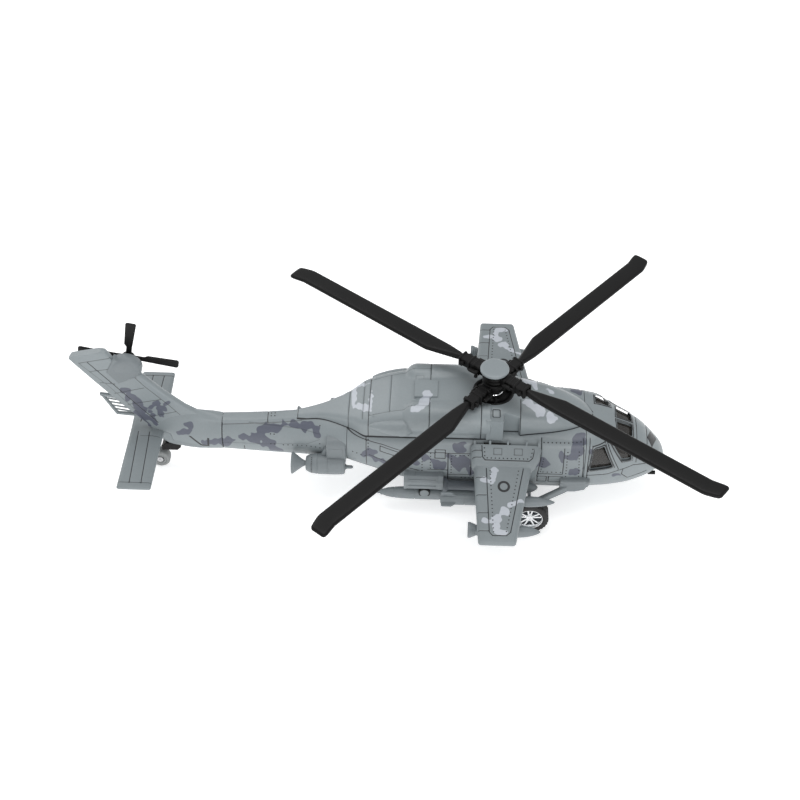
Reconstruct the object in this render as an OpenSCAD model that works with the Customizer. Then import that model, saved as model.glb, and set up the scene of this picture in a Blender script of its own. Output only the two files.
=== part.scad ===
// Toy attack helicopter with free-turning rotors, a pull-back axle and a sound unit.
// Millimetres. +X points to the nose, +Y to the port side, +Z up; the wheels stand on z = 0.
// The origin is below the middle of the whole model's box.

/* [Main rotor] */
// Radius at which each blade's swept tip begins
blade_r = 116; // [100:0.5:118]
// Chord of a main blade
blade_chord = 9.6; // [8:0.1:11]
// Thickness of a main blade
blade_t = 1.6; // [1.2:0.1:2]
// Height of the middle of the rotor head above the ground
hub_z = 64.2; // [63.8:0.1:65]
// Height between the lower and the upper pair of blades
pair_gap = 5.6; // [5.4:0.1:6]
// Direction of the lower pair of blades
lower_pair_angle = 51.2; // [0:0.1:90]
// Angle from the lower pair to the upper pair
pair_angle = 92.6; // [85:0.1:95]
// Radius of the steel mast
mast_r = 1.5; // [1.2:0.1:1.8]
// Radius of the round cap on the rotor head
cap_r = 6.9; // [6:0.1:7.5]

/* [Body] */
// Distance from the mast back to the tip of the fin
tail_reach = 201.8; // [201.5:0.1:204]
// Half of the cabin's width
cabin_half = 22; // [21:0.1:23]
// Height of the cabin roof above the ground
roof_z = 43.8; // [43.5:0.1:44]
// Height of the cabin floor's underside above the ground
belly_z = 7; // [7:0.1:7.3]
// Wall of the die-cast shells
wall = 1.5; // [1.2:0.1:1.8]

/* [Wings and tail] */
// Distance from the centre line to a stub wing's tip
wing_reach = 75.4; // [70:0.1:80]
// Distance from the centre line to the stabiliser's tip
stab_reach = 40.5; // [36:0.1:44]
// Thickness of the fin
fin_t = 3.8; // [3:0.1:4.5]

/* [Wheels] */
// Radius of a main tyre
tyre_r = 9; // [8.5:0.1:9.2]
// Width of a main tyre
tyre_w = 7; // [6:0.1:7]
// Distance from the centre line to a main wheel's outer face
track_half = 39; // [38.5:0.1:40]
// Radius of the tail wheel
tail_wheel_r = 5; // [4.5:0.1:5.2]

/* [Tail rotor] */
// Radius of the tail rotor
tail_rotor_r = 24.2; // [20:0.1:25]
// Lean of the tail rotor's axis above the horizontal
tail_cant = 6; // [0:1:10]

/* [Pull-back motor] */
// Gear module
gear_m = 0.5; // [0.5:0.05:0.5]
// Teeth of each small gear
pinion_teeth = 10; // [10:1:10]
// Teeth of the reduction gear's large wheel
wheel_teeth = 24; // [24:1:24]
// Teeth of the gear that winds the spring
winding_teeth = 30; // [30:1:30]

/* [Hidden] */
$fn = 48;
far = 400;                 // longer than the model, for half-space cuts
gap = 0.1;                 // clearance between pieces that only lie side by side
run = 0.05;                // radial clearance of a running fit
ring_n = 20;               // points around one rib of a shell

body_grey = [0.54, 0.57, 0.58];
pale_grey = [0.6, 0.63, 0.64];
rotor_black = [0.1, 0.1, 0.1];
steel = [0.75, 0.75, 0.77];

// ---- Blade outline, seen from above, with +x along the blade and +y against the clock's hands
half_chord = blade_chord / 2;
tip_r = blade_r + 8;
kink_r = 37;               // where the blade reaches its full chord
cuff_r = 19.5;             // outer end of a hub cuff
cuff_w = 5.2;
cuff_h = 4.6;
tang_w = 2.8;
tang_h = 3;
pin_r = 0.6;
pin_at = 16.8;             // radius of the pin that holds a blade

upper_pair_angle = lower_pair_angle + pair_angle;
front_tip = [tip_r - 0.05, half_chord + 1.45];
front_blade_angle = upper_pair_angle + 180;
tip_reach = front_tip[0] * cos(front_blade_angle) - front_tip[1] * sin(front_blade_angle);
tip_round = 0.6;
mast_x = (tail_reach - tip_reach) / 2;      // centres the model's box on the origin

// ---- Ribs of the lofted shells: distance from the mast, half width, top, bottom, height of
// the widest place, squareness of the upper half, squareness of the lower half
k_w = cabin_half / 22;
fuselage_ribs = [
    [-69.5, 16.3 * k_w, roof_z - 0.8, 15.5, 29.5, 3, 2.2],
    [-56, 19.2 * k_w, roof_z - 0.3, 12.6, 28.5, 4, 2.5],
    [-41, 21.3 * k_w, roof_z - 0.1, belly_z + 2, 26, 5, 2.8],
    [-27, cabin_half, roof_z, belly_z, 25, 6, 3],
    [31, cabin_half, roof_z, belly_z, 25, 6, 3],
    [45.6, 21.2 * k_w, roof_z - 0.1, belly_z, 25, 4.8, 3],
    [50.4, 20.5 * k_w, roof_z - 0.4, belly_z, 25, 4, 3],
    [55.5, 19.5 * k_w, roof_z - 1.4, belly_z + 0.1, 24, 3, 3],
    [60.7, 18 * k_w, roof_z - 3.4, belly_z + 0.3, 22.8, 2.5, 3],
    [66, 16.4 * k_w, roof_z - 5.6, belly_z + 0.6, 21.6, 2.3, 2.9],
    [71, 14.3 * k_w, roof_z - 8.2, belly_z + 1.2, 20.6, 2.2, 2.7],
    [76.5, 11.5 * k_w, roof_z - 12.9, belly_z + 2.2, 19.4, 2.1, 2.4],
    [79.2, 9.8 * k_w, roof_z - 15.8, belly_z + 3.2, 18.8, 2, 2.2],
    [82.2, 7.3 * k_w, roof_z - 19.4, belly_z + 5, 18.2, 2, 2],
    [84, 4 * k_w, 21.2, 15, 18.1, 2, 2],
    [84.6, 1.6 * k_w, 19.4, 16.8, 18.1, 2, 2]
];
boom_ribs = [
    [-175, 2.6, 27, 21, 24.4, 2.2, 2.2],
    [-168, 3.6, 30, 17.6, 24, 2.2, 2.2],
    [-158, 5.2, 32.4, 15.2, 24, 2.1, 2.2],
    [-145, 6.4, 33, 14.6, 24, 2, 2.1],
    [-131, 7.3, 33.5, 14.4, 24, 2, 2],
    [-109, 9, 35, 13.9, 24.4, 2, 2],
    [-94.5, 10, 36.8, 13.6, 25.2, 2, 2],
    [-83, 12.3, 40, 14.2, 26.8, 2.3, 2.1],
    [-69.5, 16.3 * k_w, roof_z - 0.8, 15.5, 29.5, 3, 2.2]
];
cowling_ribs = [
    [-94.3, 3.8, 39.6, 33, 37.2, 2.4, 4],
    [-83, 5.8, 43.4, 33, 39.8, 2.6, 4],
    [-69.5, 12, 48.2, 34, 41, 3, 4],
    [-60, 15.3, 51.5, 35, 42, 3.5, 4],
    [-45, 17.8, 54, 36, 42.6, 4, 4],
    [-30, 18.6, 56, 36, 43, 4.5, 4],
    [-8, 18.6, 56.6, 36, 43, 4.5, 4],
    [5, 18, 56.4, 36, 43, 4, 4],
    [13, 16.2, 55.4, 36, 43, 3.2, 4],
    [31, 13.2, 52.4, 36, 43, 2.6, 4],
    [41, 9.8, 48.6, 36, 43, 2.2, 4],
    [45.5, 6.2, 46, 36, 42.8, 2, 4],
    [48.2, 1.2, 43.8, 40, 42.6, 2, 2]
];
cabin_rear = -69.5;        // seam between cabin and boom
cabin_front = 44.6;        // seam between cabin and cockpit
fin_seam = -131;           // seam between boom and fin
keel_z = 20.6;             // top of the keel piece under the fin
belly_cut_z = belly_z + 4; // top edge of the belly plate
belly_rear = -50;
belly_front = 40;
belly_half = 16.5;
cover_screw_x = -13;
body_screw_x = [-27, 33];
body_screw_y = [-12.5, 12.5];
screw_r = 0.8;

// ---- Pull-back motor
axle_x = 19.3;
axle_r = 1;
gear_w = 3.4;
pinion_pitch = pinion_teeth * gear_m / 2;
step_1 = pinion_pitch + wheel_teeth * gear_m / 2;
step_2 = pinion_pitch + winding_teeth * gear_m / 2;
step_1_angle = 138;
step_2_angle = 125;
mid_x = axle_x + step_1 * cos(step_1_angle);
mid_z = tyre_r + step_1 * sin(step_1_angle);
wind_x = mid_x + step_2 * cos(step_2_angle);
wind_z = mid_z + step_2 * sin(step_2_angle);
shaft_r = 0.8;
motor_y0 = -7;             // starboard face of the motor
motor_y1 = 10;             // port face of the motor
motor_x0 = mid_x - 16;
motor_x1 = axle_x + 4;
motor_z0 = 4.8;
motor_z1 = 33.4;
motor_wall = 1;

// ---- Tail
gearbox_x = -175;
gearbox_z = 64.3;
gearbox_r = 7.6;
tail_hub_off = 7;          // from the fin's middle to the tail rotor's middle
tail_pin_r = 0.9;
tail_wheel_x = -164.5;
tail_wheel_w = 4;

// ---- Stores, as distances from the mast and the centre line
missile_y = 40;
missile_z = 23;
pod_y = 61;
pod_z = 25.4;
torpedo_y = 24.5;
torpedo_z = 10;

// ---- Sound unit
button_x = -32;
button_l = 11;
button_w = 12;
button_top = 57.2;
board_z = 45.4;            // underside of the circuit board
cell_r = 5.8;
cell_t = 5.4;
cell_z = 15;
speaker_x = 33;

function signed_power(v, p) = sign(v) * pow(abs(v), p);

// One closed rib of a shell, made narrower all round by `inset`
function rib(r, inset) = [
    for (i = [0 : ring_n - 1])
        let (a = 360 * i / ring_n, up = sin(a) >= 0, p = 2 / (up ? r[5] : r[6]))
        [
            mast_x + r[0],
            (r[1] - inset) * signed_power(cos(a), p),
            r[4] + (up ? r[2] - inset - r[4] : r[4] - r[3] - inset) * signed_power(sin(a), p)
        ]
];

// A closed skin through a list of rings with the same number of points each
module skin(rings) {
    n = len(rings[0]);
    m = len(rings);
    points = [for (r = rings) each r];
    sides = [
        for (j = [0 : m - 2], i = [0 : n - 1])
            let (a = j * n + i, b = j * n + (i + 1) % n)
            each [[a, b, a + n], [b, b + n, a + n]]
    ];
    first = [for (i = [n - 1 : -1 : 0]) i];
    last = [for (i = [0 : n - 1]) (m - 1) * n + i];
    polyhedron(points, concat([first], sides, [last]), convexity = 6);
}

// A shell's solid, hulled bay by bay from rib to rib
module loft(ribs, inset = 0) {
    for (j = [0 : len(ribs) - 2]) hull() skin([rib(ribs[j], inset), rib(ribs[j + 1], inset)]);
}

// Everything between two distances from the mast
module slice(x0, x1) {
    intersection() {
        children();
        translate([mast_x + x0, -far / 2, -far / 2]) cube([x1 - x0, far, far]);
    }
}

module at_mast(x = 0, y = 0, z = 0) translate([mast_x + x, y, z]) children();

// A round bar along +X with its rear end at the origin
module bar_x(r, l) rotate([0, 90, 0]) cylinder(r = r, h = l);

// A round bar along +Y, from y0 to y1
module bar_y(r, y0, y1) translate([0, y1, 0]) rotate([90, 0, 0]) cylinder(r = r, h = y1 - y0);

module both_sides() {
    children();
    mirror([0, 1, 0]) children();
}

module port_or_starboard(port) mirror([0, port ? 0 : 1, 0]) children();

// ======== Shells ========

module fuselage_hollow() {
    loft([for (r = fuselage_ribs) if (r[0] < 80) r], wall);
}

module belly_opening(grow) {
    at_mast(belly_rear - grow, -belly_half - grow, 0)
        cube([belly_front - belly_rear + 2 * grow, 2 * (belly_half + grow), belly_cut_z + grow]);
}

module cabin_shell() color(body_grey) {
    difference() {
        union() {
            difference() {
                slice(cabin_rear, cabin_front) loft(fuselage_ribs);
                fuselage_hollow();
            }
            intersection() {
                loft(fuselage_ribs);
                for (x = body_screw_x, y = body_screw_y)
                    at_mast(x, y, belly_cut_z + 0.4) cylinder(r = 2.4, h = 30);
            }
            for (x = [-44, -18], y = [-6, 6]) at_mast(x, y, roof_z - 1) cylinder(r = 1.2, h = board_z - roof_z + 1);
        }
        belly_opening(gap);
        for (x = body_screw_x, y = body_screw_y)
            at_mast(x, y, 0) cylinder(r = screw_r + 0.06, h = 20, $fn = 24);
        at_mast(0, 0, 40) cylinder(r = 4.2, h = 10);
        at_mast(-60, -6, 38) cube([14, 12, 10]);
        for (s = [-1, 1], x = [-8, 19]) at_mast(x, s * 22, 38.4) rotate([0, 90, 90])
            cylinder(r = 1.05, h = 12, center = true, $fn = 24);
        at_mast(axle_x, 0, tyre_r) bar_y(axle_r + 0.4, -30, 30);
    }
}

// Window prisms: corner points in the side view or in the front view
module side_windows() {
    at_mast(0, 0, 0) rotate([90, 0, 0]) translate([0, 0, -far / 2]) linear_extrude(far) {
        polygon([[47.6, 27.4], [60, 27.6], [54, 39], [48, 39.2]]);
        polygon([[62.3, 28.4], [71.5, 22.4], [67.8, 30.6], [60.5, 36.6]]);
    }
}

module windshield_panes() {
    intersection() {
        at_mast(58.4, -far / 2, 33.6) rotate([0, 26, 0]) cube([8.6, far, 20]);
        both_sides() at_mast(50, 0.9, 20) cube([30, 8.6, 40]);
    }
}

module roof_windows() {
    both_sides() at_mast(47.6, 8.6, 40.2) cube([7.6, 8.4, 10]);
}

module cockpit_shell() color(body_grey) {
    difference() {
        slice(cabin_front, 90) loft(fuselage_ribs);
        fuselage_hollow();
        side_windows();
        windshield_panes();
        roof_windows();
        both_sides() at_mast(77, 6.4, 10.6) bar_x(1.1, 8);
    }
}

module cockpit_glazing() color([0.75, 0.8, 0.82, 0.4]) {
    difference() {
        intersection() {
            slice(cabin_front + 1, 72) difference() {
                loft([for (r = fuselage_ribs) if (r[0] < 80) r], wall + 0.05);
                loft([for (r = fuselage_ribs) if (r[0] < 80) r], wall + 0.85);
            }
            translate([-far / 2, -far / 2, 21]) cube([far, far, far]);
        }
        at_mast(40, -8, 21) cube([12, 16, 30]);
    }
}

module cockpit_interior() color([0.16, 0.15, 0.15]) {
    at_mast() {
        translate([45.4, -13.4, 13]) cube([16.6, 26.8, 1.6]);
        translate([62, -4, 13]) cube([6.4, 8, 1.6]);
        for (s = [-1, 1]) translate([0, s * 8, 0]) {
            translate([47.4, -4, 14.6]) cube([9, 8, 4.4]);
            translate([47.4, -4, 19]) cube([2.4, 8, 10.4]);
            translate([47.4, -2.4, 29.4]) cube([2, 4.8, 3]);
        }
        translate([60, -12, 14.6]) cube([2.6, 24, 9]);
        translate([57.6, -1.6, 14.6]) cube([2.4, 3.2, 4.6]);
    }
}

// Teardrop fairing with its blunt end forward
module exhaust_fairing() {
    at_mast(-59, 16.6, 47.6) rotate([0, 90, 0]) rotate_extrude()
        polygon([[0, 0], [1.1, 3], [2.4, 7.5], [3.5, 12], [4.1, 16], [4, 18.5], [2.9, 20.6], [0, 21.6]]);
}

module nacelle() {
    at_mast(-43, 12.7, 49.6) bar_x(7, 42);
    at_mast(-3.2, 11, 43) cube([8.2, 8.4, 11.6]);
    exhaust_fairing();
}

module cowling_outside() {
    difference() {
        union() {
            loft(cowling_ribs);
            both_sides() nacelle();
        }
        both_sides() at_mast(5, 13.6, 30) cube([7.6, 20, 40]);
        loft(concat([for (r = boom_ribs) if (r[0] > -100) r], [for (r = fuselage_ribs) if (r[0] > -60) r]),
            -run);
    }
}

module cowling_inside() {
    intersection() {
        union() {
            loft(cowling_ribs, wall);
            both_sides() at_mast(-42, 12.7, 49.6) bar_x(7 - wall, 40);
        }
        slice(-84, 40) at_mast(-100, -17, 30) cube([160, 34, 60]);
    }
}

module upper_cowling() color(pale_grey) {
    difference() {
        union() {
            difference() {
                cowling_outside();
                cowling_inside();
            }
            at_mast(0, 0, dish_z - 2) cylinder(r = dish_r + 1.4, h = 4);
        }
        at_mast(0, 0, 40) cylinder(r = tube_r + run, h = 20);
        at_mast(0, 0, dish_z) cylinder(r = dish_r + gap, h = 20);
        at_mast(button_x, 0, 55) cube([button_l + 2 * gap, button_w + 2 * gap, 20], center = true);
    }
}

module tail_boom() color(body_grey) {
    difference() {
        union() {
            slice(fin_seam, cabin_rear) loft(boom_ribs);
            spine();
        }
        loft([for (r = boom_ribs) if (r[0] > -135) r], wall);
    }
}

// Raised cover of the tail drive shaft, along the top of the boom
module spine() {
    difference() {
        hull() {
            at_mast(fin_seam, 0, 31.4) bar_x(3, 0.1);
            at_mast(-94.4, 0, 36.2) bar_x(3.2, 0.1);
        }
        loft(boom_ribs, wall / 2);
    }
}

module fin_outline() {
    polygon([
        [-132, 34.6], [-132, 22], [-167, 22], [-168.2, 23.6], [-174, 32.8], [-tail_reach, 70.2],
        [-200.6, 71.8], [-185.6, 75.6], [-183.4, 75.3], [-180, 70], [-168.6, 61.4],
        [-158, 49.6], [-146.3, 38.8], [-139, 35.6]
    ]);
}

module tail_section() {
    slice(-175, fin_seam) loft(boom_ribs);
    at_mast() rotate([90, 0, 0]) translate([0, 0, -fin_t / 2]) linear_extrude(fin_t) fin_outline();
}

module keel_room(grow) {
    at_mast(-169.5, -20, keel_z - 20 + grow) cube([27.6, 40, 20]);
}

module rotor_axis() at_mast(gearbox_x, 0, gearbox_z) rotate([tail_cant - 90, 0, 0]) children();

module tail_fin() color(body_grey) {
    difference() {
        tail_section();
        keel_room(gap);
        slice(-140, fin_seam + 1) loft([for (r = boom_ribs) if (r[0] > -150) r], wall);
        rotor_axis() cylinder(r = gearbox_r + gap, h = 20, center = true);
        at_mast(-178, -10, 22.2) cube([22, 20, 3.2]);
    }
    fin_plate();
}

// Small ribbed plate behind the fin's trailing edge
module fin_plate() {
    at_mast() rotate([90, 0, 0]) translate([0, 0, -0.8]) linear_extrude(1.6)
        polygon([[-183, 46.8], [-189.6, 46.4], [-188.8, 45], [-182.6, 33.8], [-174.6, 33.2], [-176, 36]]);
    for (i = [0 : 4]) at_mast(-186 + 2.1 * i, -1.4, 44 - 2.3 * i) rotate([0, 24, 0]) cube([6, 2.8, 0.6]);
}

module tail_keel() color(body_grey) {
    difference() {
        intersection() {
            slice(-168, -142) loft(boom_ribs);
            keel_room(0);
        }
        at_mast(-161, -1.2, 10) cube([8, 2.4, 6.6]);
    }
}

module belly_plate() color([0.42, 0.44, 0.45]) {
    difference() {
        union() {
            intersection() {
                difference() {
                    loft(fuselage_ribs);
                    fuselage_hollow();
                }
                belly_opening(0);
            }
            at_mast(-41, -11, belly_z - 0.6) cube([37, 22, 3]);
            at_mast(-38.6, -7.6, belly_z + 1) cube([21.4, 15.2, 13]);
            for (x = body_screw_x, y = body_screw_y)
                at_mast(x, y, belly_z + 1.9) cylinder(r = 2.4, h = 2.3);
        }
        at_mast(-37.4, -6.4, 0) cube([19, 12.8, 20]);
        at_mast(-39.2, -8.2, belly_z - 1) cube([22.6, 16.4, 1.6]);
        at_mast(-17, -3.2, belly_z - 1) cube([7.2, 6.4, 1.6]);
        for (x = body_screw_x, y = body_screw_y) {
            at_mast(x, y, 0) cylinder(r = screw_r + 0.2, h = 20, $fn = 24);
            at_mast(x, y, 0) cylinder(r = 2, h = belly_z + 3.1, $fn = 24);
        }
        at_mast(cover_screw_x, 0, 0) cylinder(r = screw_r + 0.06, h = 20, $fn = 24);
        at_mast(motor_x0 - gap, motor_y0 - gap, 0)
            cube([motor_x1 - motor_x0 + 2 * gap, motor_y1 - motor_y0 + 2 * gap, 20]);
        at_mast(axle_x, 0, tyre_r) bar_y(axle_r + 0.4, -30, 30);
        for (a = [0 : 60 : 300], r = [2.4, 4.8])
            at_mast(speaker_x + r * cos(a), r * sin(a), 0) cylinder(r = 0.5, h = 12, $fn = 16);
    }
}

module battery_cover() color([0.42, 0.44, 0.45]) {
    difference() {
        union() {
            at_mast(-39, -8, belly_z - 0.5) cube([22.2, 16, 1]);
            at_mast(-17, -3, belly_z - 0.5) cube([7, 6, 1]);
        }
        for (i = [0 : 3]) at_mast(-37 + 1.6 * i, -5, belly_z - 1) cube([0.7, 10, 0.8]);
        at_mast(cover_screw_x, 0, 0) cylinder(r = screw_r + 0.15, h = 20, $fn = 24);
        at_mast(cover_screw_x, 0, 0) cylinder(r = 1.7, h = belly_z, $fn = 24);
    }
}

// ======== Wings, stabiliser and stores ========

// A rounded slab section across the wing at one distance from the centre line:
// distance, rear edge, front edge, height of the middle, thickness
function slab_ring(s) = [
    for (i = [0 : 19])
        let (a = 360 * i / 20)
        [
            mast_x + (s[1] + s[2]) / 2 + (s[2] - s[1]) / 2 * signed_power(cos(a), 0.5),
            s[0],
            s[3] + s[4] / 2 * signed_power(sin(a), 0.7)
        ]
];

wing_slabs = [
    [22.05, -10.4, 23.4, 39, 7],
    [26, -10, 22.6, 36.8, 6.4],
    [29.6, -9.4, 20, 34.2, 6.2],
    [30.4, -8.3, 18.6, 33.8, 5.2],
    [50, -7.3, 15.4, 33, 4.6],
    [wing_reach - 2, -6, 11.4, 32.2, 4],
    [wing_reach, -5, 10, 32.2, 2.6]
];

module pylon(x0, x1, y, z0, z1) at_mast(x0, y - 1, z0) cube([x1 - x0, 2, z1 - z0]);

module stub_wing(port) color(pale_grey) port_or_starboard(port) {
    difference() {
        union() {
            skin([for (s = wing_slabs) slab_ring(s)]);
            pylon(-3, 12, missile_y, missile_z + 2.2, 32.6);
            pylon(-2, 9, pod_y, pod_z + 2.6, 32);
            for (x = [-8, 19]) at_mast(x, 0, 38.4) bar_y(1, 19, 23);
        }
        at_mast(-3, missile_y, missile_z) bar_x(2.62, 20);
        at_mast(-3, pod_y, pod_z) bar_x(3.05, 20);
    }
}

module missile() {
    at_mast(-21.6, missile_y, missile_z) {
        rotate([0, 90, 0]) rotate_extrude()
            polygon([[0, 0], [1.8, 0], [2.6, 1], [2.6, 40], [2.4, 43.5], [1.9, 47], [1.1, 50], [0, 52]]);
        for (a = [0, 90]) rotate([a, 0, 0]) translate([0.6, -4.6, -0.4]) cube([6, 9.2, 0.8]);
    }
}

module missiles() color(body_grey) both_sides() missile();

module rocket_pod() {
    at_mast(-10.6, pod_y, pod_z) rotate([0, 90, 0]) rotate_extrude()
        polygon([
            [0, 2], [2.6, 2], [3.6, 0], [3.7, 1], [2.4, 3.6], [2.4, 4.6], [3, 5.4],
            [3, 22], [2.7, 26], [2, 29.6], [1, 32.4], [0, 33.6]
        ]);
}

module rocket_pods() color(body_grey) both_sides() rocket_pod();

module boom_pod(port) color(body_grey) port_or_starboard(port) {
    difference() {
        union() {
            at_mast(-79.6, 8, 24) cube([9.6, 8.6, 13]);
            at_mast(-89.6, 18.6, 22) rotate([0, 90, 0]) rotate_extrude()
                polygon([[0, 0], [3.4, 0], [4.8, 2.4], [5.2, 7], [5.2, 15], [4.9, 19], [0, 19]]);
            at_mast(-96.6, 18.6, 22) rotate([0, 90, 0]) rotate_extrude()
                polygon([[0, 3], [5.2, 0], [5.5, 0.4], [1.2, 6.6], [1.2, 8], [0, 8]]);
            at_mast(-71, 18.6, 20.2) bar_x(1.5, 4.4);
            at_mast(-84, 15, 22) cube([14, 3, 10]);
        }
        loft(boom_ribs, -run);
    }
}

module side_rack(port) color([0.4, 0.42, 0.43]) port_or_starboard(port) {
    difference() {
        union() {
            at_mast(-41.6, 16, 13.6) cube([19, 11.6, 9]);
            for (i = [0 : 4]) at_mast(-41 + 4.25 * i, 16, 13.4) cube([0.8, 11.9, 9.4]);
            at_mast(-34, torpedo_y - 1, torpedo_z + 2.6) cube([5, 2, 2]);
            at_mast(-22.8, torpedo_y, 16.4) bar_x(2.4, 37);
            at_mast(12.6, torpedo_y, 16.4) rotate([0, 90, 0]) rotate_extrude()
                polygon([[0, 0], [2.8, 0], [3.4, 1.2], [3, 5], [1.8, 8.4], [0, 10.4]]);
            at_mast(-6, 20, 15.6) cube([8, 3, 1.6]);
        }
        loft(fuselage_ribs, -run);
        at_mast(-60, torpedo_y, torpedo_z) bar_x(3.15, 60);
    }
}

module side_rack_starboard() side_rack(false);
module side_rack_port() side_rack(true);

module torpedo() {
    at_mast(-54.6, torpedo_y, torpedo_z) rotate([0, 90, 0]) rotate_extrude()
        polygon([
            [0, 0], [0.9, 0], [0.9, 1.6], [1.5, 1.6], [1.5, 3], [2.2, 5], [2.9, 11],
            [3.1, 18], [3.1, 44], [2.6, 48], [1.4, 51], [0, 52]
        ]);
}

module torpedoes() color(body_grey) both_sides() torpedo();

// Fairing beside the cockpit and the strut that runs back to the main axle
module gear_leg(port) color(body_grey) port_or_starboard(port) {
    difference() {
        union() {
            hull() for (x = [35.6, 48], z = [12.4, 20.4])
                at_mast(x, 0, z) bar_y(1.2, 17.4, 24.6, $fn = 16);
            hull() {
                at_mast(36, 23, 16) bar_y(2.6, -1.4, 1.4, $fn = 24);
                at_mast(axle_x, 29.8, tyre_r) bar_y(1.6, -1.4, 1.4, $fn = 24);
            }
            at_mast(axle_x, 0, tyre_r) bar_y(2.6, 28, 31.6);
        }
        at_mast(30, 0, 0) rotate([90, 0, 90])
            linear_extrude(22) polygon([for (p = rib(fuselage_ribs[4], -run)) [p[1], p[2]]]);
        at_mast(axle_x, 0, tyre_r) bar_y(axle_r + run, 20, 40);
    }
}

module gear_leg_starboard() gear_leg(false);
module gear_leg_port() gear_leg(true);
module boom_pod_starboard() boom_pod(false);
module boom_pod_port() boom_pod(true);
module stub_wing_starboard() stub_wing(false);
module stub_wing_port() stub_wing(true);

module chin_lights() color(rotor_black) both_sides() at_mast(77.6, 6.4, 10.6) bar_x(1, 3.6);

stab_slabs = [
    [1.2, -176.6, -157.6, 23.8, 3],
    [8, -176.8, -158.4, 23.8, 2.8],
    [stab_reach - 1, -177.2, -161.6, 23.6, 2.2],
    [stab_reach, -176.6, -162.4, 23.6, 1.4]
];

module stabiliser() color(pale_grey) {
    both_sides() skin([for (s = stab_slabs) slab_ring(s)]);
    at_mast(-177.4, -3, 22.3) cube([20.8, 6, 3]);
}

// ======== Main rotor ========

module along_pair(angle, z) at_mast(0, 0, z) rotate([0, 0, angle]) children();

module hub_bar(z, angle, bore_r) {
    along_pair(angle, z) difference() {
        union() {
            translate([0, 0, -cuff_h / 2]) cylinder(r = 5.6, h = cuff_h);
            cube([2 * cuff_r, cuff_w, cuff_h], center = true);
            for (x = [-13, 13]) translate([x, 0, 0]) cube([4, cuff_w + 1.4, cuff_h - 0.4], center = true);
        }
        for (s = [-1, 1]) translate([s * (cuff_r - 5.2), 0, 0])
            cube([10.6, tang_w + gap, tang_h + gap], center = true);
        for (s = [-1, 1]) translate([s * pin_at, 0, 0]) bar_y(pin_r + 0.02, -8, 8, $fn = 24);
        cylinder(r = bore_r, h = 20, center = true);
    }
}

lower_z = hub_z - pair_gap / 2;
upper_z = hub_z + pair_gap / 2;

module hub_lower() color(rotor_black) hub_bar(lower_z, lower_pair_angle, mast_r);
module hub_upper() color(rotor_black) hub_bar(upper_z, upper_pair_angle, mast_r + run);

module blade_outline() {
    polygon([
        [cuff_r + 0.1, 1.4], [cuff_r + 0.1, -1.4], [cuff_r + 0.6, -2.2], [28, 1.4 - half_chord],
        [blade_r - 0.2, -half_chord], [tip_r - 1.6, -half_chord + 1.9], [tip_r - 0.4, -half_chord + 2.7],
        front_tip, [tip_r - tip_round, half_chord + 1.75], [blade_r - 0.4, half_chord - 0.1],
        [kink_r, half_chord + 1.4], [cuff_r + 0.6, 1.8]
    ]);
}

module blade(angle, z) color(rotor_black) along_pair(angle, z) {
    translate([0, 0, -blade_t / 2]) linear_extrude(blade_t) blade_outline();
    difference() {
        translate([cuff_r - 10.2, -tang_w / 2, -tang_h / 2]) cube([10.8, tang_w, tang_h]);
        translate([pin_at, 0, 0]) bar_y(pin_r + 0.02, -8, 8, $fn = 24);
    }
}

module blade_front_port() blade(lower_pair_angle, lower_z);
module blade_rear_starboard() blade(lower_pair_angle + 180, lower_z);
module blade_rear_port() blade(upper_pair_angle, upper_z);
module blade_front_starboard() blade(front_blade_angle, upper_z);

module pins(angle, z) color(rotor_black) along_pair(angle, z)
    for (s = [-1, 1]) translate([s * pin_at, 0, 0]) {
        bar_y(pin_r, -3.9, 3.9, $fn = 24);
        for (t = [-1, 1]) translate([0, t * 3.35, 0]) bar_y(1.1, -0.65, 0.65, $fn = 24);
    }

module pins_lower() pins(lower_pair_angle, lower_z);
module pins_upper() pins(upper_pair_angle, upper_z);

module rotor_mast() color(steel) at_mast(0, 0, 45.4) cylinder(r = mast_r, h = upper_z + cuff_h / 2 + 1.2 - 45.4);

module mast_collar() color(steel) difference() {
    union() {
        at_mast(0, 0, 57.3) cylinder(r = 2.6, h = lower_z - cuff_h / 2 - 57.3);
        at_mast(0, 0, 44.6) cylinder(r = 2.4, h = 0.9);
    }
    at_mast(0, 0, 45.4) cylinder(r = mast_r, h = 30);
}

module rotor_cap() color(pale_grey) difference() {
    at_mast(0, 0, upper_z + cuff_h / 2 + 0.2) rotate_extrude()
        polygon([[0, 0], [2.6, 0], [2.6, 0.4], [cap_r, 0.4], [cap_r, 1.4], [cap_r - 0.5, 2], [0, 2.1]]);
    at_mast(0, 0, upper_z) cylinder(r = mast_r, h = cuff_h / 2 + 1.2);
}

// Black dish under the rotor head, with the mast's bearing tube
dish_r = 9.75;
dish_z = 53.3;             // floor of the recess the dish sits in
tube_r = 3.4;
module swashplate() color(rotor_black) difference() {
    at_mast(0, 0, dish_z) rotate_extrude() polygon([
        [0, -7.7], [tube_r, -7.7], [tube_r, 0.05], [dish_r, 0.05], [dish_r, 3.2], [9, 3.6], [8.4, 2.7],
        [6.4, 2.3], [5.8, 3.1], [3.6, 3.1], [3.4, 3.8], [0, 3.8]
    ]);
    at_mast(0, 0, 40) cylinder(r = mast_r + run, h = 20);
}

// ======== Tail rotor and tail wheel ========

module tail_gearbox() color(body_grey) difference() {
    rotor_axis() translate([0, 0, -2.8]) cylinder(r = gearbox_r, h = 5.8);
    rotor_axis() cylinder(r = tail_pin_r, h = 20);
}

module tail_rotor_axle() color(steel) rotor_axis() {
    cylinder(r = tail_pin_r, h = tail_hub_off + 1.6);
    translate([0, 0, tail_hub_off + 1.6]) cylinder(r = 1.5, h = 0.8);
}

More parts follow.
